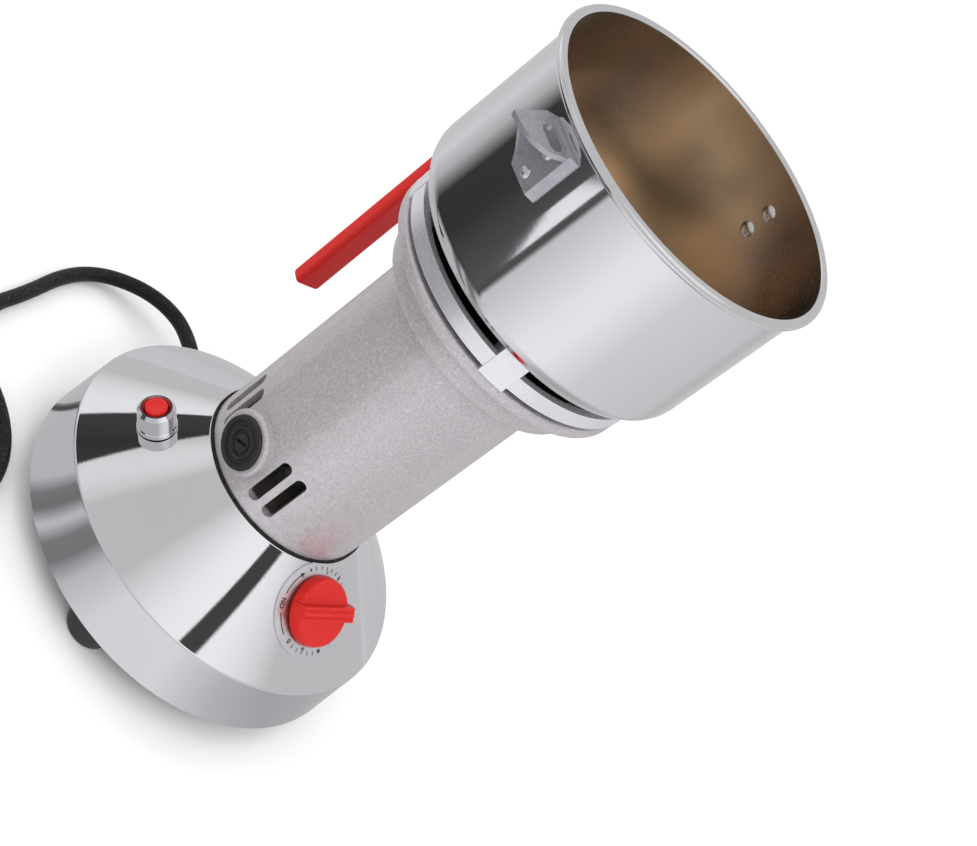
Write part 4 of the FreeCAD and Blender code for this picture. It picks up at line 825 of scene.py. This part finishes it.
def make_stage():
    look = bpy.context.scene.mill_view
    make_floor(bpy.context.scene.mill_finish)
    make_world(look.light)
    make_mirrored_studio()
    area_lamp("Key", azimuth=60, height=1.5, distance=1.6, size=1.3, power=14)
    area_lamp("Fill", azimuth=-70, height=1.1, distance=1.8, size=1.4, power=9)
    area_lamp("Back", azimuth=190, height=1.4, distance=1.6, size=1.0, power=6)


# The supply lead

def route_points():
    """The free lead's control points from the relief to the coil."""
    floor = bpy.context.scene.mill_lead.diameter / 2
    tilt = math.radians(9.0)
    root = polar(88.56 * MM, LEAD_EXIT_AZIMUTH, 20.0 * MM)
    tip = root + polar(math.cos(tilt), LEAD_EXIT_AZIMUTH, -math.sin(tilt)) * (13.0 * MM)
    bends = [(-112.4, 37.2, 15.3), (-128.7, 34.1, 12.3), (-141.5, 23.4, 8.3), (-148.8, 4.3, 4.0)]
    level = [(-144.0, -17.6), (-131.3, -41.7), (-119.8, -69.6), (-96.3, -81.8), (-64.3, -75.9),
             (-36.2, -86.3), (-18.1, -110.2), (-15.4, -140.1), (-22.5, -163.5), (-35.9, -176.8)]
    points = [tip] + [Vector(p) * MM for p in bends]
    points += [Vector((x * MM, y * MM, floor)) for x, y in level]
    return points


def coil_points(lead):
    """Control points of the coil: in, up over its own turns, and out, and the plug's direction."""
    around = 16
    turn = 2 * math.pi / around
    outside = 1 / (0.25 + 0.75 * math.cos(turn / 2))
    step = lead.pitch / 4
    quarters_in, quarters_out = 5, 6
    radius = lead.coil_inner + step * quarters_in
    hub = Vector((-73.9 * MM, -144.9 * MM, lead.diameter / 2))
    angle = math.radians(-65.0)
    points = []

    def way(a):
        return Vector((math.cos(a), math.sin(a), 0))

    start = hub + way(angle) * radius
    heading = Vector((math.sin(angle), -math.cos(angle), 0))
    points.append(start - heading * lead.diameter)

    def quarter():
        nonlocal angle
        for k in range(around // 4):
            points.append(hub + way(angle - (k + 0.5) * turn) * radius * outside)
        angle -= math.pi / 2

    for _ in range(quarters_in):
        quarter()
        hub = hub + way(angle) * step
        radius -= step
    for k in range(around // 2):
        share = (k + 0.5) / (around // 2)
        lift = Vector((0, 0, lead.rise * (1 - math.cos(math.pi * share)) / 2))
        points.append(hub + way(angle - math.pi * share) * radius * outside + lift)
    angle -= math.pi
    hub = hub + Vector((0, 0, lead.rise))
    for _ in range(quarters_out):
        radius += step
        hub = hub - way(angle) * step
        quarter()
    end = hub + way(angle) * radius
    heading = Vector((math.sin(angle), -math.cos(angle), 0))
    for share in (0.25, 0.6, 1.0):
        points.append(end + heading * lead.tail * share)
    return points, heading


def make_lead():
    lead = bpy.context.scene.mill_lead
    route = route_points()
    coil, heading = coil_points(lead)
    points = route + coil
    data = bpy.data.curves.new("supply_lead", "CURVE")
    data.dimensions = "3D"
    data.bevel_depth = lead.diameter / 2
    data.bevel_resolution = 6
    data.resolution_u = 8
    data.use_fill_caps = True
    spline = data.splines.new("NURBS")
    spline.points.add(len(points) - 1)
    for point, place in zip(spline.points, points):
        point.co = (*place, 1.0)
    spline.order_u = 3
    spline.use_endpoint_u = True
    lead_piece = put("supply_lead", data)
    lead_piece.visible_glossy = False
    cover(lead_piece, "mill", "lead_sheath", "power_lead", "lead_coil")
    relief = refine("strain_relief", "relief", "mill", "lead_sheath", 40, 0.2 * MM)
    plug = refine("plug", "lead_plug", "mill", "lead_sheath", 40)
    pins = refine("plug_pins", "lead_plug_pins", "mill", "plug_pin_metal", 40, 0.2 * MM)
    ribs = plug_ribs(points[-1], heading)


def plug_ribs(end, heading):
    """Grip ribs on both flat sides of the plug."""
    relief, length, width, height = 20.0 * MM, 34.0 * MM, 24.0 * MM, 21.0 * MM
    pitch = 0.11 * length
    tree = bars_tree()
    bm = bmesh.new()
    for face in (0, 1):
        row = grown("rib_row", tree, {
            "Count": 5, "First": math.pi * face, "Step": 0.0, "Radius": width / 2, "Pitch": (pitch, 0, 0),
            "Size": (1.3 * MM, 0.9 * MM, 11.0 * MM), "Material": material("lead_sheath")})
        bm.from_mesh(row.data)
        bpy.data.objects.remove(row)
    side = Vector((0, 0, 1)).cross(heading)
    first = Vector((end.x, end.y, height / 2)) + heading * (relief + 0.28 * length)
    bm.transform(Matrix((
        (heading.x, side.x, 0, first.x), (heading.y, side.y, 0, first.y), (0, 0, 1, first.z), (0, 0, 0, 1))))
    ribs = finish_mesh("plug_ribs", bm)
    edge = ribs.modifiers.new("Edge", "BEVEL")
    edge.width = 0.3 * MM
    edge.segments = 2
    return cover(ribs, "mill", "lead_sheath")


# The base

def make_base():
    wall, lip = 1.2 * MM, 30.0 * MM
    shell = lathe("base_skin", [
        (BASE_R, BASE_LOW, 0.4 * MM), (SHOULDER_R, SHOULDER_Z, 1.6 * MM), (NECK_R, NECK_Z, 0.6 * MM),
        (lip, NECK_Z, 0), (lip, NECK_Z - wall, 0), (NECK_R - wall, NECK_Z - 1.8 * wall, 0),
        (SHOULDER_R - 1.1 * wall, SHOULDER_Z - 0.6 * wall, 0), (BASE_R - wall, BASE_LOW, 0)], 256)
    cover(shell, "mill", "mirror_steel", "base_shell")
    dress("black_steel", "base_plate")
    dress("zinc_screw", "base_plate_screws", "foot_screws", "housing_screws")
    for number in range(1, 5):
        refine("rubber_foot_%d" % number, "foot_%d" % number, "mill", "foot_rubber", 32)
    dress("gasket_rubber", "neck_gasket")
    dress("black_plastic", "terminal_block")
    dress("lead_sheath", "inner_lead")


# The motor's housing and what shows of the motor

def make_housing():
    refine("motor_housing", "housing_casting", "mill", "silver_paint")
    for side in ("front", "rear"):
        refine("brush_cap_" + side, "brush_cover_" + side, "mill", "black_plastic", 30, 0.15 * MM)


def make_motor():
    dress("motor_bracket", "lower_bearing_bracket", "upper_bearing_plate")
    dress("bearing_steel", "lower_bearing", "upper_bearing")
    dress("zinc_screw", "bearing_plate_screws")
    dress("lamination", "stator_core", "armature_core")
    dress("winding", "field_coils", "armature_windings")
    dress("shaft_steel", "rotor_shaft", "brush_springs")
    dress("commutator_copper", "commutator")
    dress("black_plastic", "brush_holders", "cooling_fan")
    dress("carbon", "carbon_brushes")


# The vent ring and the bowl

def make_bowl():
    inner_r = BOWL_R - BOWL_WALL
    bead = 2.0 * MM
    hole = 11.0 * MM
    floor = BOWL_Z + 1.2 * MM
    bowl = lathe("bowl_skin", [
        (hole, BOWL_Z, 0), (BOWL_R, BOWL_Z, 10.5 * MM), (BOWL_R, RIM_Z - 2 * bead, 0.9 * MM),
        (RIM_R, RIM_Z - 2 * bead, 1.95 * MM), (RIM_R, RIM_Z, 1.95 * MM), (inner_r, RIM_Z, 1.2 * MM),
        (inner_r, floor, 9.5 * MM), (hole, floor, 0)], 256)
    cover(bowl, "mill", "bowl_steel", "bowl")
    # The inside wall and floor take the steel with the painted reflections
    bowl.data.materials.append(material("bowl_inside"))
    for face in bowl.data.polygons:
        middle = face.center
        inside = math.hypot(middle.x, middle.y) < BOWL_R - 0.7 * BOWL_WALL and middle.z > BOWL_Z + 0.8 * MM
        outward = face.normal.x * middle.x + face.normal.y * middle.y
        if inside and (outward < 0 or face.normal.z > 0.3) and middle.z < RIM_Z - 1.0 * MM:
            face.material_index = 1
    refine("vent_ring", "vent_band", "mill", "vent_aluminium", 30, 0.25 * MM)
    dress("black_steel", "bowl_carrier_plate")
    dress("zinc_screw", "bowl_screws")
    refine("shaft_seal", "seal_ring", "mill", "gasket_rubber", 32)


def make_blades():
    for node, name, bevel in (("lower_blade", "blade_low", 0.3), ("upper_blade", "blade_high", 0.3),
                              ("blade_spacer", "spacer_sleeve", 0.2), ("blade_nut", "top_nut", 0.2)):
        refine(node, name, "rotor", "blade_steel", 30, bevel * MM)


def make_catches():
    for side in ("front", "rear"):
        refine("catch_" + side, "lid_catch_" + side, "mill", "catch_metal", 30, 0.25 * MM)
    rivets = smooth_copy("catch_rivets", "rivet_heads", 40)
    for vert in rivets.data.vertices:
        if abs(vert.co.y) < BOWL_R - BOWL_WALL:
            level = min(RIVET_LEVELS, key=lambda z: abs(z - vert.co.z))
            vert.co.x *= RIVET_SWELL
            vert.co.z = level + (vert.co.z - level) * RIVET_SWELL
    cover(rivets, "mill", "rivet_metal", "catch_rivets")


# The handle

def make_handle():
    refine("handle_grip", "grip", "mill", "red_plastic", 32)
    refine("handle_bracket", "grip_strap", "mill", "bracket_steel", 30, 0.3 * MM)
    dress("zinc_screw", "handle_bracket_screws")
    refine("handle_screw", "grip_screw", "mill", "zinc_screw", 32)


# The timer and the reset

def round_dial(radius, degrees):
    """A flat (x, y) place on the dial: degrees run clockwise from up the slope."""
    turn = math.radians(degrees)
    return radius * math.sin(turn), radius * math.cos(turn)


def dial_mark(bm, points, lift=0.01 * MM, thickness=0.05 * MM):
    """A closed printed patch on the dial from flat (x, y) outline points."""
    low = [bm.verts.new(on_dial(x, y, lift)) for x, y in points]
    high = [bm.verts.new(on_dial(x, y, lift + thickness)) for x, y in points]
    bm.faces.new(high)
    bm.faces.new(list(reversed(low)))
    count = len(points)
    for k in range(count):
        n = (k + 1) % count
        bm.faces.new((low[k], low[n], high[n], high[k]))


def dial_arc(bm, radius, first, last, width, steps=14):
    """A printed arc line from one clockwise angle to another."""
    inner, outer = radius - width / 2, radius + width / 2
    for k in range(steps):
        a = first + (last - first) * k / steps
        b = first + (last - first) * (k + 1) / steps
        around = ((inner, a), (outer, a), (outer, b), (inner, b))
        dial_mark(bm, [round_dial(reach, degrees) for reach, degrees in around])


def dial_text(bm, words, radius, angle, size):
    """Lettering that stands on the dial at a clockwise angle, its foot towards the centre."""
    data = bpy.data.curves.new("lettering", "FONT")
    data.body = words
    data.size = size
    data.extrude = 0.03 * MM
    data.offset = 0.035 * size
    data.align_x = "CENTER"
    data.align_y = "CENTER"
    letters = put("lettering", data)
    mesh = bpy.data.meshes.new_from_object(letters.evaluated_get(bpy.context.evaluated_depsgraph_get()))
    bpy.data.objects.remove(letters)
    turn = math.radians(angle)
    for vert in mesh.vertices:
        x, y, lift = vert.co
        along = radius + y
        vert.co = on_dial(x * math.cos(turn) + along * math.sin(turn),
                          along * math.cos(turn) - x * math.sin(turn), lift + 0.04 * MM)
    bm.from_mesh(mesh)
    bpy.data.meshes.remove(mesh)


def dial_ticks(bm, tree, ring, count, first, step, length, width):
    """Ticks round the dial, each a raised bar bent onto it."""
    ticks = grown("ticks", tree, {
        "Count": count, "First": math.radians(first), "Step": math.radians(step), "Radius": ring,
        "Size": (width * MM, length * MM, 0.05 * MM), "Material": material("ink")})
    for vert in ticks.data.vertices:
        vert.co = on_dial(vert.co.x, vert.co.y, vert.co.z + 0.035 * MM)
    bm.from_mesh(ticks.data)
    bpy.data.objects.remove(ticks)


def make_dial():
    refine("dial_plate", "dial_face", "mill", "dial_print")
    bm = bmesh.new()
    ring = 17.9 * MM
    dial_arc(bm, ring, 235, 265, 0.5 * MM)
    dial_arc(bm, ring, 291, 324, 0.5 * MM)
    arrow_tip, arrow_tail, barb = 330, 323, 1.1 * MM
    dial_mark(bm, [round_dial(ring, arrow_tip), round_dial(ring + barb, arrow_tail),
                   round_dial(ring - barb, arrow_tail)])
    dot, sides = 0.9 * MM, 24
    x, y = round_dial(ring, 160)
    dial_mark(bm, [(x + dot * math.cos(2 * math.pi * k / sides), y + dot * math.sin(2 * math.pi * k / sides))
                   for k in range(sides)])
    for words, angle, radius, size in (("0", 222, 17.4, 3.0), ("ON", 278, 17.8, 2.9), ("5", 12, 16.2, 1.7),
                                       ("30", 192, 16.2, 1.7)):
        dial_text(bm, words, radius * MM, angle, size * MM)
    tree = bars_tree()
    for count, first, step, length, width in (
            (5, 349, 10.3, 1.7, 0.38), (1, 340, 0, 1.2, 0.9), (1, 40, 0, 2.2, 1.0), (11, 51, 8.8, 1.7, 0.38),
            (5, 171.5, 10.3, 1.7, 0.38)):
        dial_ticks(bm, tree, ring, count, first, step, length, width)
    bmesh.ops.recalc_face_normals(bm, faces=bm.faces)
    marks = cover(finish_mesh("dial_marks", bm), "mill", "dial_print")
    marks.data.materials[0] = material("ink")


def make_controls():
    refine("timer_knob", "knob", "timer", "red_plastic", 30, 0.25 * MM)
    dress("shaft_steel", "timer_shaft")
    dress("black_plastic", "timer_body", "overload_breaker")
    dress("bright_nut", "timer_nut")
    refine("reset_nut", "reset_collar", "mill", "bright_nut", 26)
    refine("reset_button", "reset_cap", "reset", "red_plastic")
    make_dial()


# Operators, one for each piece or group

def step(idname, label, words, work):
    """An operator class that runs one making function."""
    def execute(self, context):
        work()
        return {"FINISHED"}
    return type("MILL_OT_" + idname, (bpy.types.Operator,), {
        "bl_idname": "mill." + idname, "bl_label": label, "__doc__": words, "execute": execute})


STEPS = [
    step("camera", "Camera", "Set the camera at the photograph's angle", make_camera),
    step("lead", "Supply lead", "Lay the lead, its coil and its plug", make_lead),
    step("stage", "Stage", "Make the floor, the lamps and the world", make_stage),
    step("base", "Base", "Finish the base, its plate and its feet", make_base),
    step("housing", "Motor housing", "Finish the housing and the brush caps", make_housing),
    step("motor", "Motor", "Finish the motor inside the housing", make_motor),
    step("bowl", "Bowl", "Finish the bowl and the vent ring", make_bowl),
    step("blades", "Blades", "Finish the blades and what holds them", make_blades),
    step("catches", "Lid catches", "Finish the lid catches and their rivets", make_catches),
    step("handle", "Handle", "Finish the handle and its strap", make_handle),
    step("controls", "Controls", "Finish the timer, its dial and the reset", make_controls),
]


class MILL_PT_panel(bpy.types.Panel):
    bl_label = "Grain Mill"
    bl_idname = "MILL_PT_panel"
    bl_space_type = "VIEW_3D"
    bl_region_type = "UI"
    bl_category = "Grain Mill"

    def draw(self, context):
        for maker in STEPS:
            self.layout.operator(maker.bl_idname)


CLASSES = [MillFinish, MillLead, MillView] + STEPS + [MILL_PT_panel]


def register():
    for item in CLASSES:
        bpy.utils.register_class(item)
    bpy.types.Scene.mill_finish = bpy.props.PointerProperty(type=MillFinish)
    bpy.types.Scene.mill_lead = bpy.props.PointerProperty(type=MillLead)
    bpy.types.Scene.mill_view = bpy.props.PointerProperty(type=MillView)


def unregister():
    for name in ("mill_finish", "mill_lead", "mill_view"):
        delattr(bpy.types.Scene, name)
    for item in reversed(CLASSES):
        bpy.utils.unregister_class(item)


def main():
    register()
    bpy.context.scene.view_settings.view_transform = "Standard"
    for maker in STEPS:
        group_name, call = maker.bl_idname.split(".")
        getattr(getattr(bpy.ops, group_name), call)()


if __name__ == "__main__":
    main()
